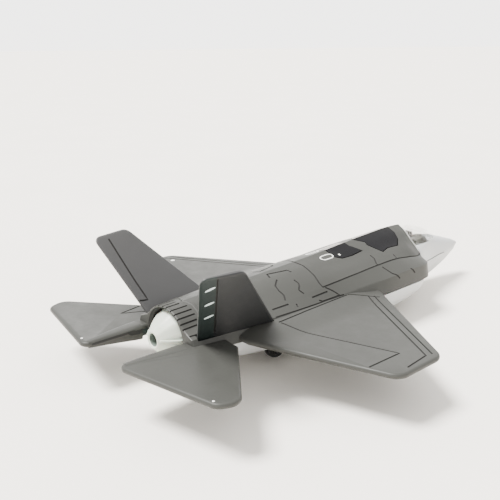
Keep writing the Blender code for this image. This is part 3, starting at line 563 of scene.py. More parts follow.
def lengthwise(half_width, station, height):
    return upright(half_width, station, height) @ Matrix.Rotation(-math.pi / 2, 4, "X")


def turned(name, profile, sides, matrix, materials=(), closed=False, ripple=None):
    """A solid of revolution from (radius, height) points; ripple scales each ring's radius by angle."""
    bm = bmesh.new()
    rings = []
    for radius, along in profile:
        if radius < 1e-6:
            rings.append([bm.verts.new((0, 0, along * MM))])
            continue
        ring = []
        for k in range(sides):
            angle = 2 * math.pi * k / sides
            size = radius * MM * (ripple(angle, radius, along) if ripple else 1.0)
            ring.append(bm.verts.new((size * math.cos(angle), size * math.sin(angle), along * MM)))
        rings.append(ring)
    pairs = list(zip(rings, rings[1:]))
    if closed:
        pairs.append((rings[-1], rings[0]))
    for first, second in pairs:
        for k in range(sides):
            n = (k + 1) % sides
            if len(first) == 1:
                bm.faces.new((first[0], second[n], second[k]))
            elif len(second) == 1:
                bm.faces.new((first[k], first[n], second[0]))
            else:
                bm.faces.new((first[k], first[n], second[n], second[k]))
    bmesh.ops.transform(bm, matrix=matrix, verts=bm.verts)
    bmesh.ops.recalc_face_normals(bm, faces=bm.faces)
    return from_bmesh(name, bm, materials)


def rod(name, radius, length, matrix, sides):
    """A plain cylinder along the matrix's Z, centred on it."""
    half = length / 2
    return turned(name, [(0, -half), (radius, -half), (radius, half), (0, half)], sides, matrix)


def mirrored_copy(made, name):
    """The same mesh on the other side of the centre plane."""
    mesh = made.data.copy()
    mesh.transform(Matrix.Diagonal((-1, 1, 1, 1)))
    mesh.flip_normals()
    return add_object(name, mesh)


def join(name, pieces):
    """One object that holds all the pieces' meshes; the pieces are removed."""
    bm = bmesh.new()
    for piece in pieces:
        bm.from_mesh(piece.data)
        bpy.data.objects.remove(piece)
    return from_bmesh(name, bm)


def carve(target, cutters, operation="DIFFERENCE", solver="EXACT"):
    """Apply Booleans with each cutter in turn, and remove the cutters."""
    for cutter in cutters:
        modifier = target.modifiers.new("carve", "BOOLEAN")
        modifier.operation = operation
        modifier.solver = solver
        modifier.object = cutter
    baked = bpy.data.meshes.new_from_object(target.evaluated_get(bpy.context.evaluated_depsgraph_get()))
    target.modifiers.clear()
    old = target.data
    target.data = baked
    bpy.data.meshes.remove(old)
    for cutter in cutters:
        bpy.data.objects.remove(cutter)


def shade(made, angle=32):
    """Smooth shading that keeps edges sharper than the angle."""
    made.data.shade_smooth()
    made.data.set_sharp_from_angle(angle=math.radians(angle))
    return made


def surface(made):
    bm = bmesh.new()
    bm.from_mesh(made.data)
    tree = BVHTree.FromBMesh(bm)
    bm.free()
    return tree


# ---------------------------------------------------------------- lines laid on a surface

def skin_point(station, around, side=1):
    half = section_at(UPPER_SECTIONS, station)
    half_width, height = smooth_point(half, around, UPPER_CORNERS)
    return place(side * half_width, station, height)


def densify(points, step=SAMPLE_STEP):
    """Points along straight runs, in the caller's own units, about a step apart."""
    result = []
    for start, end in zip(points, points[1:]):
        a, b = Vector(start), Vector(end)
        count = max(2, int((b - a).length / step))
        result += [tuple(a.lerp(b, k / count)) for k in range(count)]
    result.append(tuple(points[-1]))
    return result


def swept(name, points, normals, width, depth, sides=6, closed=False):
    """A thin strip of oval section that follows points on a surface; width may be one for each point."""
    bm = bmesh.new()
    rings = []
    last = len(points) - 1
    widths = width if isinstance(width, list) else [width] * len(points)
    for i, (point, normal) in enumerate(zip(points, normals)):
        ahead = points[(i + 1) % len(points)] if closed or i < last else point
        behind = points[i - 1] if closed or i > 0 else point
        along = (ahead - behind).normalized()
        side = along.cross(normal).normalized()
        up = side.cross(along).normalized()
        ring = []
        for k in range(sides):
            angle = 2 * math.pi * k / sides
            ring.append(bm.verts.new(
                point + side * math.cos(angle) * widths[i] * MM + up * math.sin(angle) * depth * MM
            ))
        rings.append(ring)
    pairs = list(zip(rings, rings[1:]))
    if closed:
        pairs.append((rings[-1], rings[0]))
    for first, second in pairs:
        for k in range(sides):
            n = (k + 1) % sides
            bm.faces.new((first[k], first[n], second[n], second[k]))
    if not closed:
        bm.faces.new(rings[0])
        bm.faces.new(reversed(rings[-1]))
    bmesh.ops.recalc_face_normals(bm, faces=bm.faces)
    return from_bmesh(name, bm)


def laid(name, points, tree, width, depth, sides=6, closed=False):
    """A strip whose points are moved to the nearest place on a surface."""
    found = [tree.find_nearest(point) for point in points]
    spots = [hit[0] for hit in found]
    normals = [hit[1] for hit in found]
    return swept(name, spots, normals, width, depth, sides, closed)


def both_sides(point_sets):
    """Each list of points in metres, and its mirror image."""
    result = []
    for points in point_sets:
        result.append(points)
        result.append([Vector((-p.x, p.y, p.z)) for p in points])
    return result


# ---------------------------------------------------------------- materials

# Fine bumps in paint and in moulded plastic, each (scale, strength, distance in metres)
ENAMEL = [(2600.0, 0.10, 0.00005), (420.0, 0.06, 0.0002)]
MOULDED = [(3200.0, 0.12, 0.00004), (500.0, 0.05, 0.0002)]

# Each surface: (name, darkest tone, lightest tone, roughness range, bumps, other shader inputs)
SURFACES = {
    "grey_paint": (
        "grey_enamel", (0.036, 0.0367, 0.0335), (0.042, 0.0428, 0.039), (0.40, 0.52), ENAMEL,
        {"Specular IOR Level": 0.25},
    ),
    # Painted shade: a darker enamel for the engraved lines and for the walls of the inserts' recesses and the
    # fins' sockets
    "groove": (
        "grey_enamel_painted_groove_shade", (0.017, 0.017, 0.016), (0.022, 0.022, 0.021), (0.55, 0.7), ENAMEL,
        {"Specular IOR Level": 0.2},
    ),
    # The fins' outer faces: a darker enamel as painted shade
    "fin_paint": (
        "dark_enamel_painted_shade", (0.019, 0.020, 0.021), (0.023, 0.024, 0.025), (0.40, 0.52), ENAMEL,
        {"Specular IOR Level": 0.25},
    ),
    # The fins' inner faces: a lighter enamel as painted light
    "inner_fin_paint": (
        "pale_enamel_painted_light", (0.054, 0.054, 0.055), (0.062, 0.062, 0.063), (0.40, 0.52), ENAMEL,
        {"Specular IOR Level": 0.25},
    ),
    "rudder": (
        "slate_enamel", (0.015, 0.021, 0.020), (0.019, 0.026, 0.025), (0.38, 0.5), ENAMEL,
        {"Specular IOR Level": 0.25},
    ),
    "pale_print": (
        "pale_print", (0.50, 0.58, 0.58), (0.60, 0.68, 0.68), (0.4, 0.5), ENAMEL, {},
    ),
    # Painted shade: a darker grey for the lower body's engraved lines, its chine line and the walls of its
    # tunnel and ducts
    "light_groove": (
        "light_grey_painted_groove_shade", (0.20, 0.21, 0.21), (0.26, 0.27, 0.27), (0.5, 0.65), MOULDED, {},
    ),
    # Painted shade: a dark green-grey inside the nozzle's bore
    "bore": (
        "nozzle_bore_painted_shade", (0.10, 0.13, 0.11), (0.15, 0.18, 0.16), (0.5, 0.65), MOULDED, {},
    ),
    # Print, and the white of painted highlights along the front edge and on the plates
    "white_print_and_highlight": (
        "white_print_and_highlight", (0.74, 0.74, 0.72), (0.84, 0.84, 0.82), (0.35, 0.45), ENAMEL, {},
    ),
    "light_plastic": (
        "light_grey_plastic", (0.43, 0.44, 0.445), (0.48, 0.49, 0.495), (0.38, 0.5), MOULDED,
        {"Subsurface Weight": 0.04, "Subsurface Scale": 0.0008},
    ),
    "cream_plastic": (
        "cream_plastic", (0.49, 0.53, 0.455), (0.56, 0.60, 0.52), (0.32, 0.44), MOULDED,
        {"Subsurface Weight": 0.06, "Subsurface Scale": 0.0008},
    ),
    "gloss_black": (
        "gloss_black", (0.006, 0.006, 0.007), (0.010, 0.010, 0.011), (0.14, 0.22),
        [(500.0, 0.03, 0.0001)], {"Specular IOR Level": 0.07},
    ),
    "dark_plastic": (
        "cockpit_plastic", (0.040, 0.037, 0.026), (0.056, 0.052, 0.038), (0.5, 0.65), MOULDED, {},
    ),
    "seat_plastic": (
        "seat_plastic", (0.026, 0.020, 0.014), (0.038, 0.029, 0.021), (0.5, 0.65), MOULDED, {},
    ),
    "black_plastic": (
        "black_plastic", (0.010, 0.010, 0.010), (0.016, 0.016, 0.016), (0.5, 0.65), MOULDED,
        {"Specular IOR Level": 0.3},
    ),
    "wheel_plastic": (
        "wheel_plastic", (0.012, 0.012, 0.012), (0.020, 0.020, 0.019), (0.55, 0.72), MOULDED,
        {"Specular IOR Level": 0.3},
    ),
    "steel": (
        "plated_steel", (0.50, 0.50, 0.51), (0.62, 0.62, 0.62), (0.22, 0.4),
        [(1500.0, 0.15, 0.00005)], {"Metallic": 1.0},
    ),
}
CLEAR = {
    "Transmission Weight": 1.0, "IOR": 1.35, "Base Color": (0.93, 0.90, 0.84, 1.0), "Alpha": 0.13,
}
MOTTLE_SCALE = 90.0


def shader_material(name, roughness, inputs):
    material = bpy.data.materials.new(name)
    material.use_nodes = True
    shader = material.node_tree.nodes["Principled BSDF"]
    shader.inputs["Roughness"].default_value = roughness
    for key, value in inputs.items():
        shader.inputs[key].default_value = value
    return material, material.node_tree, shader


def node(tree, kind, **settings):
    made = tree.nodes.new(kind)
    for key, value in settings.items():
        if key in made.inputs:
            made.inputs[key].default_value = value
        else:
            setattr(made, key, value)
    return made


def mottle(tree, shader, dark, light, scale, coordinate):
    """Vary the base colour between two close tones."""
    noise = node(tree, "ShaderNodeTexNoise", Scale=scale, Detail=4.0, Roughness=0.6)
    ramp = node(tree, "ShaderNodeValToRGB")
    ramp.color_ramp.elements[0].position = 0.3
    ramp.color_ramp.elements[0].color = (*dark, 1)
    ramp.color_ramp.elements[1].position = 0.7
    ramp.color_ramp.elements[1].color = (*light, 1)
    tree.links.new(coordinate.outputs["Object"], noise.inputs["Vector"])
    tree.links.new(noise.outputs["Fac"], ramp.inputs["Fac"])
    tree.links.new(ramp.outputs["Color"], shader.inputs["Base Color"])


def rough_range(tree, shader, low, high, scale, coordinate):
    """Vary the roughness between two values."""
    noise = node(tree, "ShaderNodeTexNoise", Scale=scale, Detail=5.0, Roughness=0.65)
    spread_node = node(tree, "ShaderNodeMapRange")
    spread_node.inputs["From Min"].default_value = 0.3
    spread_node.inputs["From Max"].default_value = 0.7
    spread_node.inputs["To Min"].default_value = low
    spread_node.inputs["To Max"].default_value = high
    tree.links.new(coordinate.outputs["Object"], noise.inputs["Vector"])
    tree.links.new(noise.outputs["Fac"], spread_node.inputs["Value"])
    tree.links.new(spread_node.outputs["Result"], shader.inputs["Roughness"])


def bumps(tree, shader, layers, coordinate):
    """Stack noise bumps, each (scale, strength, distance in metres)."""
    previous = None
    for scale, strength, distance in layers:
        noise = node(tree, "ShaderNodeTexNoise", Scale=scale, Detail=3.0)
        bump = node(tree, "ShaderNodeBump", Strength=strength, Distance=distance)
        tree.links.new(coordinate.outputs["Object"], noise.inputs["Vector"])
        tree.links.new(noise.outputs["Fac"], bump.inputs["Height"])
        if previous:
            tree.links.new(previous.outputs["Normal"], bump.inputs["Normal"])
        previous = bump
    tree.links.new(previous.outputs["Normal"], shader.inputs["Normal"])


def make_surface(name, dark, light, roughness, bump_layers, inputs):
    """A mottled surface with uneven gloss and fine bumps."""
    material, tree, shader = shader_material(name, sum(roughness) / 2, inputs)
    coordinate = node(tree, "ShaderNodeTexCoord")
    mottle(tree, shader, dark, light, MOTTLE_SCALE, coordinate)
    rough_range(tree, shader, *roughness, MOTTLE_SCALE * 4, coordinate)
    bumps(tree, shader, bump_layers, coordinate)
    return material


def make_materials():
    found = {slot: make_surface(*surface_row) for slot, surface_row in SURFACES.items()}
    clear, tree, shader = shader_material("clear_smoke", 0.04, CLEAR)
    bumps(tree, shader, [(300.0, 0.02, 0.0001)], node(tree, "ShaderNodeTexCoord"))
    found["smoke_clear"] = clear
    return found


MATERIALS = make_materials()
PAINT = [MATERIALS[name] for name in ("grey_paint", "groove", "black_plastic", "rudder")]
FIN_PAINT = [MATERIALS[name] for name in ("inner_fin_paint", "groove", "rudder", "fin_paint")]
LIGHT = [MATERIALS["light_plastic"], MATERIALS["light_groove"]]
GREY, GROOVE_SHADE, SHADE_BLACK, SLATE_SHADE = range(4)
RUDDER_FACE, SHADED_OUTER_FACE = 2, 3


def slotted(made, materials, index):
    """Give a cutter the target's slots, with every face in one of them."""
    made.data.materials.clear()
    for material in materials:
        made.data.materials.append(material)
    for face in made.data.polygons:
        face.material_index = index
    return made


def painted(made, index=GROOVE_SHADE):
    """A tool whose faces take one of the upper body's paints, by default the darker enamel of painted shade.
    """
    return slotted(made, PAINT, index)


def place_piece(made, body=BODY, stands_for=()):
    """Attach a piece to the body that it rides on, and hide the CAD nodes that it stands for."""
    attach(made, body)
    if stands_for:
        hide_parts(*stands_for)


def joined_piece(name, pieces, material, stands_for=()):
    """One shaded piece of one material, made from several."""
    made = join(name, pieces)
    made.data.materials.clear()
    made.data.materials.append(material)
    place_piece(shade(made), stands_for=stands_for)


# ---------------------------------------------------------------- upper body

def ease(value):
    value = min(max(value, 0.0), 1.0)
    return value * value * (3 - 2 * value)


def slice_mesh(bm, spot, normal):
    """Cut the edges and faces that a plane crosses."""
    geometry = bm.verts[:] + bm.edges[:] + bm.faces[:]
    bmesh.ops.bisect_plane(bm, geom=geometry, plane_co=spot, plane_no=normal)


def raise_wing_root(wing):
    """Lift the plate's upper face near the body, more in mid-chord than at its edges."""
    root_front, tip_front, tip_rear, root_rear = (WING_OUTLINE[i] for i in (1, 2, 3, 4))
    first, last = ROOT_RISE_SPAN
    bm = bmesh.new()
    bm.from_mesh(wing.data)
    for half_width in spread(first, last, 9):
        slice_mesh(bm, place(half_width, 0, 0), (1, 0, 0))
    for station in spread(41.6, 72.2, 26):
        slice_mesh(bm, place(0, station, 0), (0, 1, 0))
    for vert in bm.verts:
        half_width = vert.co.x / MM
        station = vert.co.y / MM + MID_STATION
        if vert.co.z / MM < PLATE_MID or half_width > last:
            continue
        outward = (half_width - root_front[0]) / (tip_front[0] - root_front[0])
        front = root_front[1] + outward * (tip_front[1] - root_front[1])
        rear = root_rear[1] + outward * (tip_rear[1] - root_rear[1])
        inside = min((station - front) / ROOT_RISE_CHORD[0], (rear - station) / ROOT_RISE_CHORD[1])
        vert.co.z += ROOT_RISE * MM * ease(inside) * ease((last - half_width) / (last - first))
    bm.to_mesh(wing.data)
    bm.free()


def make_boom(name, sections, squareness):
    """A loft of squared ovals, or of true ovals at a squareness of 1."""
    rings = []
    for station, middle, half_width, low, high in sections:
        ring = []
        for k in range(BOOM_SIDES):
            angle = 2 * math.pi * k / BOOM_SIDES
            across = math.copysign(abs(math.cos(angle)) ** squareness, math.cos(angle))
            up = math.copysign(abs(math.sin(angle)) ** squareness, math.sin(angle))
            height = (low + high) / 2 + (high - low) / 2 * up
            ring.append(place(middle + half_width * across, station, height))
        rings.append(ring)
    return loft(name, rings)


def insert_outline(half_outline, grow):
    """Both halves of an insert's outline, grown a little about its middle."""
    other = [(-x, y) for x, y in reversed(half_outline[1:-1])]
    outline = list(half_outline) + other
    middle = sum(y for _, y in outline) / len(outline)
    reach_x = max(x for x, _ in outline)
    reach_y = max(abs(y - middle) for _, y in outline)
    return [(x * (1 + grow / reach_x), middle + (y - middle) * (1 + grow / reach_y)) for x, y in outline]


def insert_prism(name, half_outline, grow):
    low, high = PRISM_HEIGHTS
    return plate(name, insert_outline(half_outline, grow), high - low, plan_matrix((low + high) / 2))


def skin_solid(name, outline, shrink):
    """The upper body's own solid round an insert, shrunk by a distance."""
    stations = spread(outline[0][1] - 1, outline[-1][1] + 1, 40)
    return section_solid(
        name, UPPER_SECTIONS, UPPER_CORNERS, stations, SECTION_STEPS, (), shrink, PARTING_HEIGHT
    )


def fin_matrix(side):
    """From the fin's own (chord, span, thickness) axes to the model's frame."""
    toe = Matrix.Rotation(FIN_TOE, 3, "Z")
    chord = toe @ Vector((0, 1, 0))
    outboard = toe @ Vector((1, 0, 0))
    span = Vector((0, 0, 1)) * math.cos(FIN_CANT) + outboard * math.sin(FIN_CANT)
    matrix = Matrix((chord, span, chord.cross(span))).transposed().to_4x4()
    matrix.translation = place(*FIN_ROOT)
    if side < 0:
        matrix = Matrix.Diagonal((-1, 1, 1, 1)) @ matrix
    return matrix


def intake_cutters():
    """Two blind ducts that open in the slanted faces in front of the shoulders."""
    rings = []
    for station in INTAKE_STATIONS:
        rings.append([place(half_width, station, height) for half_width, height in INTAKE_OUTLINE])
    port = loft("port_intake", rings)
    return [port, mirrored_copy(port, "starboard_intake")]


def make_tail_tunnel():
    """The round hole that the nozzle sits in, flared at its rear end, with its walls painted black as painted
    shade.
    """
    radius = NOZZLE_RADIUS + GAP
    flare = radius + TUNNEL_FLARE
    profile = [(0, -10), (radius, -10), (radius, -0.45), (flare, 0.02), (flare, 12), (0, 12)]
    return painted(turned("tunnel", profile, 64, lengthwise(0, UPPER_REAR, NOZZLE_HEIGHT)), SHADE_BLACK)


def add_plates(body):
    """Join the wings, the stabilators and their booms to the body."""
    wing = plate(
        "wing", rounded_outline(WING_OUTLINE), PLATE_THICKNESS, plan_matrix(PLATE_MID), edge=PLATE_EDGE
    )
    raise_wing_root(wing)
    stabilator = plate(
        "stabilator", rounded_outline(STABILATOR_OUTLINE), PLATE_THICKNESS, plan_matrix(PLATE_MID),
        edge=PLATE_EDGE,
    )
    boom = make_boom("boom", BOOM_SECTIONS, BOOM_SQUARENESS)
    # Each neck takes the rudder's dark slate as painted shade in the narrow step between the body and its
    # boom.
    neck = painted(make_boom("neck", NECK_SECTIONS, 1.0), SLATE_SHADE)
    tools = []
    for tool in (wing, stabilator, boom, neck):
        other = mirrored_copy(tool, tool.name + "_starboard")
        if tool == neck:
            painted(other, SLATE_SHADE)
        tools += [tool, other]
    carve(body, tools, "UNION")


def cut_recesses(body):
    """Cut the tunnel, the intakes, the inserts' recesses and the fins' sockets."""
    # The intakes' walls, like the tunnel's, are painted black as painted shade.
    cutters = [make_tail_tunnel()] + [painted(cutter, SHADE_BLACK) for cutter in intake_cutters()]
    for name, outline in (("window", REAR_WINDOW_OUTLINE), ("panel", DORSAL_PANEL_OUTLINE)):
        recess = insert_prism(name + "_recess", outline, INSERT_CLEARANCE)
        carve(recess, [skin_solid(name + "_floor", outline, INSERT_DEPTH + RECESS_FLOOR_GAP)])
        # The recess walls take the darker enamel as painted shade.
        cutters.append(painted(recess))
    grown = []
    for chord, height, radius in FIN_OUTLINE:
        grown.append((chord + (SOCKET_CLEARANCE if chord > 5 else -SOCKET_CLEARANCE), height, radius))
    for side in (1, -1):
        socket = plate("fin_socket", rounded_outline(grown), FIN_THICKNESS + SOCKET_GAP, fin_matrix(side))
        # The socket walls take the darker enamel as painted shade, a dark line round the fin's root.
        cutters.append(painted(socket))
    carve(body, cutters)


def engrave_upper_shell(body, tree):
    """Cut the panel lines and the louvres, and raise the line in front of the louvres."""
    skin = [[skin_point(*p) for p in densify(line)] for line in SKIN_LINES]
    plan = [[place(*p, ABOVE_PLATE) for p in densify(line)] for line in WING_LINES]
    under = [[place(*p, BELOW_PLATE) for p in densify(line)] for line in UNDERSIDE_LINES]
    port_only = [[place(*p, ABOVE_PLATE) for p in densify(line)] for line in PORT_STABILATOR_LINES]
    strips = []
    for points in both_sides(skin + plan + under) + port_only:
        strips.append(painted(laid("groove", points, tree, GROOVE_WIDTH, GROOVE_DEPTH)))
    slots = []
    for around, front in LOUVRES:
        slots.append([skin_point(*p) for p in densify([(front, around), (LOUVRE_REAR, around)])])
    for points in both_sides(slots):
        strips.append(painted(laid("louvre", points, tree, LOUVRE_WIDTH, LOUVRE_DEPTH)))
    carve(body, strips, solver="MANIFOLD")
    ridges = []
    for points in both_sides([[skin_point(*p) for p in densify(line)] for line in RAISED_LINES]):
        ridges.append(painted(laid("ridge", points, tree, RIDGE_WIDTH, RIDGE_DEPTH), GREY))
    carve(body, ridges, "UNION")


def make_upper_shell():
    """Make the upper body, and return the surface that lines and marks are laid on."""
    body = section_solid(
        "upper_shell", UPPER_SECTIONS, UPPER_CORNERS, spread(UPPER_FRONT, UPPER_REAR, 70), SECTION_STEPS,
        PAINT, centre=PARTING_HEIGHT, lip=END_LIP,
    )
    add_plates(body)
    tree = surface(body)
    cut_recesses(body)
    engrave_upper_shell(body, tree)
    place_piece(shade(body), stands_for=["upper_body"])
    return tree


upper_tree = make_upper_shell()


# ---------------------------------------------------------------- gloss inserts in the spine

def make_insert(name, outline):
    insert = insert_prism(name + "_gloss", outline, -INSERT_CLEARANCE)
    carve(insert, [skin_solid(name + "_skin", outline, -INSERT_PROUD)], "INTERSECT")
    carve(insert, [skin_solid(name + "_bed", outline, INSERT_DEPTH)])
    insert.data.materials.clear()
    insert.data.materials.append(MATERIALS["gloss_black"])
    place_piece(shade(insert), stands_for=[name])


make_insert("rear_window", REAR_WINDOW_OUTLINE)
make_insert("dorsal_panel", DORSAL_PANEL_OUTLINE)


# ---------------------------------------------------------------- fins

def shape_fin(fin, matrix):
    """Paint the fin's outer face in the darker tone of painted shade, thin the blade towards its trailing
    edge and tip, and put it in place.
    """
    bm = bmesh.new()
    bm.from_mesh(fin.data)
    hinge = Vector((RUDDER_ROOT * MM, 0, 0))
    across = Vector((1, -RUDDER_RAKE, 0)).normalized()
    (root_chord, _), (tip_chord, tip_height) = FIN_TRAILING
    slice_mesh(bm, hinge, across)
    slice_mesh(bm, (0, 0, OUTER_SKIN * MM), (0, 0, 1))
    for offset in spread(-TAPER_CHORD, 1.5, TAPER_CUTS):
        slice_mesh(bm, Vector(((root_chord + offset) * MM, 0, 0)), across)
    for height in spread(1.5, 13.0, TAPER_CUTS):
        slice_mesh(bm, (0, height * MM, 0), (0, 1, 0))
    for face in bm.faces:
        centre = face.calc_center_median()
        if centre.z > OUTER_SKIN * MM:
            face.material_index = RUDDER_FACE if (centre - hinge).dot(across) > 0 else SHADED_OUTER_FACE
    for vert in bm.verts:
        chord, height = vert.co.x / MM, vert.co.y / MM
        to_edge = root_chord + (tip_chord - root_chord) * height / tip_height - chord
        thinned_aft = 1 - TRAILING_TAPER * ease(1 - to_edge / TAPER_CHORD)
        thinned_up = 1 - TIP_TAPER * ease(height / tip_height)
        vert.co.z *= thinned_aft * thinned_up
    bmesh.ops.transform(bm, matrix=matrix, verts=bm.verts)
    bmesh.ops.recalc_face_normals(bm, faces=bm.faces)
    bm.to_mesh(fin.data)
    bm.free()


def make_fin_bars(label, matrix, tree):
    """Plain lozenges printed on the rudder's outer face."""
    bars = []
    for start, end in FIN_BARS:
        points = [matrix @ (Vector((*p, OFF_FIN)) * MM) for p in densify([start, end], 0.12)]
        last = len(points) - 1
        widths = [BAR_WIDTH * (0.35 + 0.65 * math.sin(math.pi * k / last) ** 0.6) for k in range(last + 1)]
        bars.append(laid("bar", points, tree, widths, PRINT_THICKNESS, sides=12))
    printed = join(label + "_fin_bars", bars)
    printed.data.materials.append(MATERIALS["pale_print"])
    place_piece(printed)


def make_fin(side, label):
    fin = plate(
        label + "_fin_painted", rounded_outline(FIN_OUTLINE), FIN_THICKNESS, Matrix.Identity(4), FIN_PAINT,
        edge=PLATE_EDGE,
    )
    matrix = fin_matrix(side)
    shape_fin(fin, matrix)
    tree = surface(fin)
    strips = []
    for lines, offset in ((FIN_INNER_LINES, -OFF_FIN), (FIN_OUTER_LINES, OFF_FIN)):
        for line in lines:
            points = [matrix @ (Vector((*p, offset)) * MM) for p in densify(line)]
            strips.append(painted(laid("groove", points, tree, GROOVE_WIDTH, GROOVE_DEPTH)))
    carve(fin, strips, solver="MANIFOLD")
    place_piece(shade(fin), stands_for=[label + "_fin"])
    make_fin_bars(label, matrix, tree)


make_fin(1, "port")
make_fin(-1, "starboard")


# ---------------------------------------------------------------- lower body

def cut_wells(body):
    """Cut the windscreen's pocket, the cockpit, the gear wells, the screws' holes and the ducts."""
    stations = [SCREEN_FRONT - SEAM] + spread(SCREEN_FRONT, SCREEN_REAR, 24) + [SCREEN_REAR + 0.7]
    pocket = section_solid(
        "screen_pocket", SCREEN_SECTIONS, (), stations, SECTION_STEPS, (), -SEAM, SCREEN_BASE
    )
    well_height = WELL_TOP - COCKPIT_FLOOR
    well_middle = (0, WELL_MIDDLE, COCKPIT_FLOOR + well_height / 2)
    cutters = [pocket, box("cockpit_well", well_middle, (*WELL_SIZE, well_height))]
    for _, half_width, station in GEAR:
        width = WHEEL_WIDTH + 2 * (FORK_CLEARANCE + FORK_CHEEK + GAP)
        roof = FORK_ROOF + GAP
        cutters.append(box("well", (half_width, station, roof / 2), (width, WELL_LENGTH, roof), edge=0.25))
    for station in SCREW_STATIONS.values():
        head = SCREW_HEAD_RADIUS + GAP
        profile = [(0, -1), (head + 0.25, -1), (head + 0.25, 1.6), (head, 1.85), (head, 3.3), (0, 3.3)]
        cutters.append(turned("sink", profile, 48, upright(0, station, 0)))
    carve(body, cutters)
    tunnel_middle = lengthwise(0, NOZZLE_FRONT - GAP + TUNNEL_LENGTH / 2, NOZZLE_HEIGHT)
    tunnel = rod("tunnel", NOZZLE_RADIUS + GAP, TUNNEL_LENGTH, tunnel_middle, 64)
    # The tunnel's and the ducts' walls take the darker grey as painted shade.
    carve(body, [slotted(cutter, LIGHT, GROOVE_SHADE) for cutter in [tunnel] + intake_cutters()])


def engrave_lower_shell(body, tree):
    """Cut the belly's lines, an outline round each gear well, and the line along the chine."""
    lines = [[place(*p, BELOW_KEEL) for p in densify(line)] for line in BELLY_LINES]
    for _, half_width, station in GEAR:
        if half_width < 0:
            continue
        side = WHEEL_WIDTH / 2 + FORK_CLEARANCE + FORK_CHEEK + GAP + DOOR_MARGIN
        length = WELL_LENGTH / 2 + DOOR_MARGIN
        corners = [(-side, -length), (side, -length), (side, length), (-side, length), (-side, -length)]
        door = densify([(half_width + x, station + y) for x, y in corners])
        lines.append([place(*p, BELOW_KEEL) for p in door])
    for line in NOSE_LINES:
        chine = []
        for station, around in densify(line):
            half_width, height = smooth_point(section_at(NOSE_SECTIONS, station), around, NOSE_CORNERS)
            chine.append(place(half_width, station, height))
        lines.append(chine)
    strips = []
    for points in both_sides(lines):
        # The lines take the darker grey as painted shade.
        strips.append(slotted(laid("groove", points, tree, GROOVE_WIDTH, GROOVE_DEPTH), LIGHT, GROOVE_SHADE))
    carve(body, strips, solver="MANIFOLD")


def make_lower_shell():
    stations = [0.0, 0.12, 0.35, 0.7, 1.1, 1.6] + spread(2.2, NOSE_REAR, 34)
    body = section_solid("lower_shell", NOSE_SECTIONS, NOSE_CORNERS, stations, SECTION_STEPS, LIGHT)
    belly = section_solid(
        "belly", BELLY_SECTIONS, BELLY_CORNERS, spread(BELLY_FRONT, BELLY_REAR, 60), SECTION_STEPS,
        centre=BELLY_TOP, lip=END_LIP,
    )
    carve(body, [belly], "UNION")
    tree = surface(body)
    cut_wells(body)
    engrave_lower_shell(body, tree)
    place_piece(shade(body), stands_for=["lower_body"])


make_lower_shell()


# ---------------------------------------------------------------- windscreen and cockpit

def make_windscreen():
    screen = section_solid(
        "clear_windscreen", SCREEN_SECTIONS, (), spread(SCREEN_FRONT, SCREEN_REAR, 36), 10,
        [MATERIALS["smoke_clear"]],
    )
    hollow = section_solid(
        "hollow", SCREEN_SECTIONS, (), spread(SCREEN_HOLLOW_FRONT, SCREEN_REAR + 1.0, 36), 10, (),
        SCREEN_WALL, SCREEN_BASE - 1.0,
    )
    carve(screen, [hollow])
    place_piece(shade(screen, 40), stands_for=["windscreen"])


def make_coaming():
    """A stretched drum across the cockpit, cut off below."""
    half = COAMING_WIDTH / 2
    rim = [(0.75, half), (1.1, half - 0.15), (COAMING_RADIUS, half - 0.45)]
    profile = [(0, -half)] + [(r, -z) for r, z in rim] + rim[::-1] + [(0, half)]
    coaming = turned("coaming", profile, 40, crosswise(0, COAMING_STATION, TUB_TOP))
    middle = place(0, COAMING_STATION, 0).y
    for vert in coaming.data.vertices:
        vert.co.y = middle + (vert.co.y - middle) * COAMING_STRETCH[0]
        vert.co.z = TUB_TOP * MM + (vert.co.z - TUB_TOP * MM) * COAMING_STRETCH[1]
    carve(coaming, [box("under", (0, COAMING_STATION, TUB_TOP - 2.0), (4.0, 6.0, 3.0))])
    return coaming


def make_cockpit():
    tub = box("tub", (0, WELL_MIDDLE, TUB_FLOOR + TUB_SIZE[2] / 2), TUB_SIZE, edge=0.15)
    carve(tub, [box("foot_well", (0, 17.0, TUB_TOP), (1.9, 5.2, 1.4), edge=0.12)])
    carve(tub, [make_coaming()], "UNION")
    details = [tub]
    for x in (CONSOLE_HALF_WIDTH, -CONSOLE_HALF_WIDTH):
        details.append(box("console", (x, 18.0, TUB_TOP + 0.12), (0.62, 3.6, 0.35), edge=0.08))
        for station in (16.8, 17.5, 18.2, 18.9):
            details.append(box("switch", (x, station, TUB_TOP + 0.33), (0.36, 0.32, 0.14), edge=0.04))
        details.append(rod("lever", 0.12, 0.7, upright(x, 17.15, TUB_TOP + 0.6), 16))
    details.append(box("column", (0, 16.75, TUB_FLOOR + 0.9), (0.24, 0.24, 1.3), edge=0.06))
    details.append(box("sight", (0, 14.3, TUB_TOP + 1.42), (0.9, 0.7, 0.28), edge=0.08))
    joined_piece("cockpit_interior", details, MATERIALS["dark_plastic"], ["cockpit_tub"])

    screens = []
    for x in (-0.72, 0.0, 0.72):
        screens.append(box("panel", (x, COAMING_STATION + 1.7, TUB_TOP + 0.5), (0.56, 0.3, 0.46), edge=0.05))
    joined_piece("instrument_screens", screens, MATERIALS["gloss_black"])


def make_seat():
    """The seat, from blocks placed by station and by height above the tub's floor."""
    seat = []
    for label, station, rise, size, edge in SEAT_BLOCKS:
        seat.append(box(label, (0, station, TUB_FLOOR + rise), size, edge=edge, edge_steps=4))
    for side in (1, -1):
        for label, half_width, station, rise, size, edge in SEAT_PAIRS:
            seat.append(box(label, (side * half_width, station, TUB_FLOOR + rise), size, edge=edge))
    joined_piece("seat_interior", seat, MATERIALS["seat_plastic"], ["ejection_seat"])


make_windscreen()
make_cockpit()
make_seat()


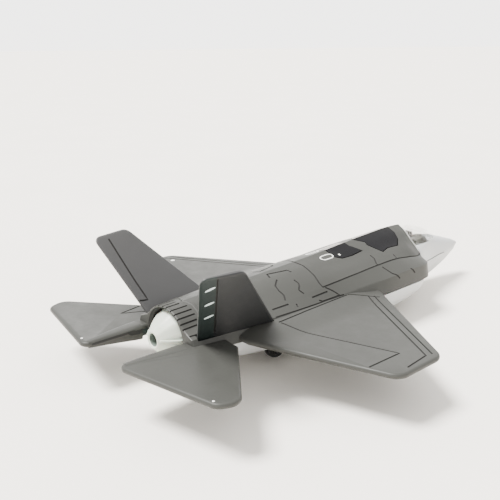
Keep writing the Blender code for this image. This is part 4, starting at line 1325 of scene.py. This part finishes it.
# ---------------------------------------------------------------- exhaust nozzle

def petal_ripple(angle, radius, along):
    """Flat petals on the cone, none on the plug or in the bore."""
    if along > -PETAL_LENGTH and radius > PETAL_TIP:
        step = 2 * math.pi / NOZZLE_PETALS
        offset = (angle + step / 2) % step - step / 2
        return math.cos(step / 2) / math.cos(offset)
    return 1.0


def make_nozzle():
    deep = NOZZLE_END - NOZZLE_BORE_DEPTH
    outline = [(0, NOZZLE_FRONT), (3.8, NOZZLE_FRONT), (4.0, NOZZLE_FRONT + 0.2)] + NOZZLE_OUTER
    outline += [(1.48, NOZZLE_END), (1.38, NOZZLE_END + 0.05), (1.22, NOZZLE_END + 0.04)]
    outline += [(NOZZLE_BORE, NOZZLE_END - 0.12), (NOZZLE_BORE, deep), (0.55, deep)]
    outline += [(0.5, deep + 0.5), (0, deep + 0.7)]
    nozzle = turned(
        "nozzle_petals", [(radius, station - NOZZLE_END) for radius, station in outline],
        NOZZLE_PETALS * 4, lengthwise(0, NOZZLE_END, NOZZLE_HEIGHT),
        [MATERIALS["cream_plastic"], MATERIALS["bore"]], ripple=petal_ripple,
    )
    # Faces inside the bore take the dark green-grey as painted shade.
    for face in nozzle.data.polygons:
        spot = face.center
        reach = math.hypot(spot.x, spot.z - NOZZLE_HEIGHT * MM) / MM
        station = spot.y / MM + MID_STATION
        if deep - 0.2 < station < NOZZLE_END - 0.1 and reach < NOZZLE_BORE + 0.03:
            face.material_index = 1
    ledge = plate("ledge", LEDGE_OUTLINE, LEDGE_THICKNESS, plan_matrix(LEDGE_HEIGHT), edge=0.1, edge_steps=3)
    ledges = [ledge, mirrored_copy(ledge, "ledge_starboard")]
    carve(nozzle, ledges, "UNION")
    place_piece(shade(nozzle, 26), stands_for=["exhaust_nozzle"])


make_nozzle()


# ---------------------------------------------------------------- landing gear and screws

def tread_profile():
    """A tyre with two grooves round its tread and a dished hub with a raised cap."""
    half = WHEEL_WIDTH / 2
    outer = [
        (WHEEL_BORE, half + 0.02), (0.9, half + 0.02), (1.0, half - 0.05), (1.1, half - 0.28),
        (1.35, half - 0.28), (1.45, half - 0.08), (1.55, half - 0.02), (1.75, half), (1.92, half - 0.05),
        (2.04, half - 0.16), (WHEEL_RADIUS, half - 0.34), (WHEEL_RADIUS, 0.29), (WHEEL_RADIUS - 0.1, 0.26),
        (WHEEL_RADIUS - 0.1, 0.2), (WHEEL_RADIUS, 0.17),
    ]
    return outer + [(radius, -along) for radius, along in reversed(outer)]


def make_fork(label, half_width, station, width):
    inner = WHEEL_WIDTH / 2 + FORK_CLEARANCE
    low = WHEEL_RADIUS - 1.0
    fork = box(
        "fork", (half_width, station, (low + FORK_ROOF) / 2), (width, FORK_LENGTH, FORK_ROOF - low),
        edge=0.3, edge_steps=4,
    )
    slot_height = FORK_ROOF - FORK_BRIDGE
    slot = box("slot", (half_width, station, slot_height / 2), (2 * inner, WELL_LENGTH, slot_height))
    hole = rod("hole", AXLE_RADIUS + 0.05, width + 2, crosswise(half_width, station, WHEEL_RADIUS), 40)
    carve(fork, [slot, hole])
    pieces = [fork]
    ring = [(0.56, -0.1), (0.92, -0.1), (0.96, 0.02), (0.9, 0.1), (0.56, 0.1)]
    for side in (1, -1):
        cheek = half_width + side * (width / 2 - 0.02)
        pieces.append(box("rib", (cheek, station, 4.1), (0.22, 0.5, 2.2), edge=0.07))
        pieces.append(turned("boss", ring, 40, crosswise(cheek, station, WHEEL_RADIUS), closed=True))
    joined_piece(
        label + "_fork_moulded", pieces, MATERIALS["black_plastic"], [label + "_gear_fork"]
    )


def make_axle(label, spot, half):
    radius = AXLE_RADIUS - 0.03
    profile = [(0, -half - 0.12), (0.3, -half - 0.1), (radius, -half)]
    profile += [(radius, half), (0.3, half + 0.1), (0, half + 0.12)]
    axle = turned(label + "_axle_pin", profile, 40, spot, [MATERIALS["steel"]])
    place_piece(shade(axle), stands_for=[label + "_axle"])


def make_wheel(label, spot):
    """A tyre with slanted notches in its shoulders and small pockets in its hub."""
    wheel = turned(label + "_tyre", tread_profile(), 72, spot, closed=True)
    cuts = []
    for k in range(TREAD_NOTCHES):
        turn = Matrix.Rotation(2 * math.pi * k / TREAD_NOTCHES, 4, "Z")
        for side in (1, -1):
            middle = spot @ turn @ Matrix.Translation((WHEEL_RADIUS * MM, 0, side * 0.55 * MM))
            notch = box("notch", (0, MID_STATION, 0), (0.16, 0.14, 0.5))
            notch.data.transform(middle @ Matrix.Rotation(side * 0.5, 4, "X"))
            cuts.append(notch)
    for k in range(HUB_POCKETS):
        turn = Matrix.Rotation(2 * math.pi * (k + 0.5) / HUB_POCKETS, 4, "Z")
        for side in (1, -1):
            middle = spot @ turn @ Matrix.Translation((1.22 * MM, 0, side * (WHEEL_WIDTH / 2 - 0.3) * MM))
            cuts.append(rod("pocket", 0.13, 0.3, middle, 16))
    carve(wheel, cuts, solver="MANIFOLD")
    wheel.data.materials.clear()
    wheel.data.materials.append(MATERIALS["wheel_plastic"])
    place_piece(shade(wheel), label + "_roller", [label + "_wheel"])


def make_gear(label, half_width, station):
    spot = crosswise(half_width, station, WHEEL_RADIUS)
    width = 2 * (WHEEL_WIDTH / 2 + FORK_CLEARANCE + FORK_CHEEK)
    make_fork(label, half_width, station, width)
    make_axle(label, spot, width / 2)
    make_wheel(label, spot)


for gear_label, gear_half_width, gear_station in GEAR:
    make_gear(gear_label, gear_half_width, gear_station)


def make_screw(name, station):
    """A pan-head screw with a cross recess and a dimple in the middle of it."""
    face = SCREW_FACE
    profile = [(0, 9.0), (0.5, 9.0), (0.6, 8.6), (0.6, 3.0), (1.4, 3.0), (1.4, face + 0.4)]
    profile += [(1.3, face + 0.18), (1.05, face + 0.03), (0.8, face), (0, face)]
    screw = turned(name + "_steel", profile, 48, upright(0, station, 0), [MATERIALS["steel"]])
    first = box("first", (0, station, face), (1.7, 0.36, 0.9))
    second = box("second", (0, station, face), (0.36, 1.7, 0.9))
    dimple = rod("dimple", 0.34, 1.1, upright(0, station, face), 24)
    carve(screw, [first, second, dimple])
    place_piece(shade(screw), stands_for=[name])


for screw_name, screw_station in SCREW_STATIONS.items():
    make_screw(screw_name, screw_station)


# ---------------------------------------------------------------- printed marks and painted highlights

def skin_frame(station, around, side):
    """A point on the skin, with the way aft and the way round the section there."""
    here = skin_point(station, around, side)
    aft = (skin_point(station + 0.5, around, side) - here).normalized()
    round_way = (skin_point(station, around + 0.1, side) - here).normalized()
    return here, aft, round_way


def disc_on(name, centre, tree, radius):
    """A thin round spot on a surface."""
    spot, normal = tree.find_nearest(centre)[:2]
    turn = normal.to_track_quat("Z", "Y").to_matrix().to_4x4()
    profile = [(0, -0.05), (radius, -0.05), (radius, 0.015), (radius - 0.03, 0.03), (0, 0.03)]
    return turned(name, profile, 24, Matrix.Translation(spot) @ turn)


def make_marks():
    """An outlined bar and a dot on each side of the spine, and white painted highlights: a pale line along
    the front edge and dots on the plates.
    """
    pieces = []
    for side in (1, -1):
        here, aft, round_way = skin_frame(*MARK_MIDDLE, side)
        loop = []
        for k in range(48):
            angle = 2 * math.pi * k / 48
            along = MARK_HALF_LENGTH * math.copysign(abs(math.cos(angle)) ** 0.55, math.cos(angle))
            across = MARK_HALF_WIDTH * math.copysign(abs(math.sin(angle)) ** 0.9, math.sin(angle))
            loop.append(here + aft * along * MM + round_way * across * MM)
        pieces.append(laid("pill", loop, upper_tree, 0.11, PRINT_THICKNESS, closed=True))
        pieces.append(disc_on("dot", skin_point(*DOT_SPOT, side), upper_tree, 0.26))
        edge = [skin_point(*p, side) for p in densify(FRONT_EDGE_HIGHLIGHT, 0.2)]
        pieces.append(laid("front_edge_highlight", edge, upper_tree, 0.09, 0.05))
    for half_width, station, radius in PLATE_GLINT_DOTS:
        pieces.append(disc_on("plate_glint_dot", place(half_width, station, PLATE_TOP + 0.2), upper_tree, radius))
    joined_piece("prints_and_painted_highlights", pieces, MATERIALS["white_print_and_highlight"])


make_marks()


# ---------------------------------------------------------------- camera, light and floor

def make_camera():
    data = bpy.data.cameras.new("camera")
    data.lens = CAMERA_LENS
    data.sensor_width = 36.0
    data.clip_start = 0.005
    camera = bpy.data.objects.new("camera", data)
    bpy.context.scene.collection.objects.link(camera)
    start = place(*CAMERA_PLACE)
    aim = (place(*CAMERA_AIM) - start).to_track_quat("-Z", "Y").to_matrix().to_4x4()
    camera.matrix_world = Matrix.Translation(start) @ aim @ Matrix.Rotation(CAMERA_ROLL, 4, "Z")
    bpy.context.scene.camera = camera


def make_key():
    data = bpy.data.lights.new("key", "SUN")
    data.energy = KEY_STRENGTH
    data.angle = KEY_ANGLE
    data.color = (1.0, 0.985, 0.955)
    light = bpy.data.objects.new("key", data)
    bpy.context.scene.collection.objects.link(light)
    light.location = Vector(KEY_TOWARDS) * 0.5
    light.rotation_mode = "QUATERNION"
    light.rotation_quaternion = Vector(KEY_TOWARDS).to_track_quat("Z", "Y")


def make_world():
    """A dim plain room with a soft light overhead and a bright backdrop low down on one side."""
    world = bpy.data.worlds.new("studio")
    bpy.context.scene.world = world
    world.use_nodes = True
    tree = world.node_tree
    background = tree.nodes["Background"]
    background.inputs["Color"].default_value = (1.0, 0.985, 0.96, 1)
    coordinate = node(tree, "ShaderNodeTexCoord")
    total = node(tree, "ShaderNodeMath", operation="ADD")
    parts = (
        (BACKDROP_TOWARDS, BACKDROP_SPREAD, 0.0, HORIZON_STRENGTH),
        ((0, 0, 1), OVERHEAD_SPREAD, SKY_STRENGTH, OVERHEAD_STRENGTH),
    )
    for socket, (towards, fade, least, most) in enumerate(parts):
        facing = node(tree, "ShaderNodeVectorMath", operation="DOT_PRODUCT")
        facing.inputs[1].default_value = towards
        band = node(tree, "ShaderNodeMapRange", interpolation_type="SMOOTHSTEP")
        band.inputs["From Min"].default_value = fade[0]
        band.inputs["From Max"].default_value = fade[1]
        band.inputs["To Min"].default_value = least
        band.inputs["To Max"].default_value = most
        tree.links.new(coordinate.outputs["Generated"], facing.inputs[0])
        tree.links.new(facing.outputs["Value"], band.inputs["Value"])
        tree.links.new(band.outputs["Result"], total.inputs[socket])
    tree.links.new(total.outputs["Value"], background.inputs["Strength"])


def make_stage():
    floor = turned("floor", [(0, FLOOR_HEIGHT), (FLOOR_RADIUS, FLOOR_HEIGHT)], 64, Matrix.Identity(4))
    material, tree, shader = shader_material("pale_floor", 0.9, {})
    coordinate = node(tree, "ShaderNodeTexCoord")
    mottle(tree, shader, (0.91, 0.87, 0.81), (0.94, 0.90, 0.84), 30.0, coordinate)
    floor.data.materials.append(material)


make_camera()
make_key()
make_world()
make_stage()
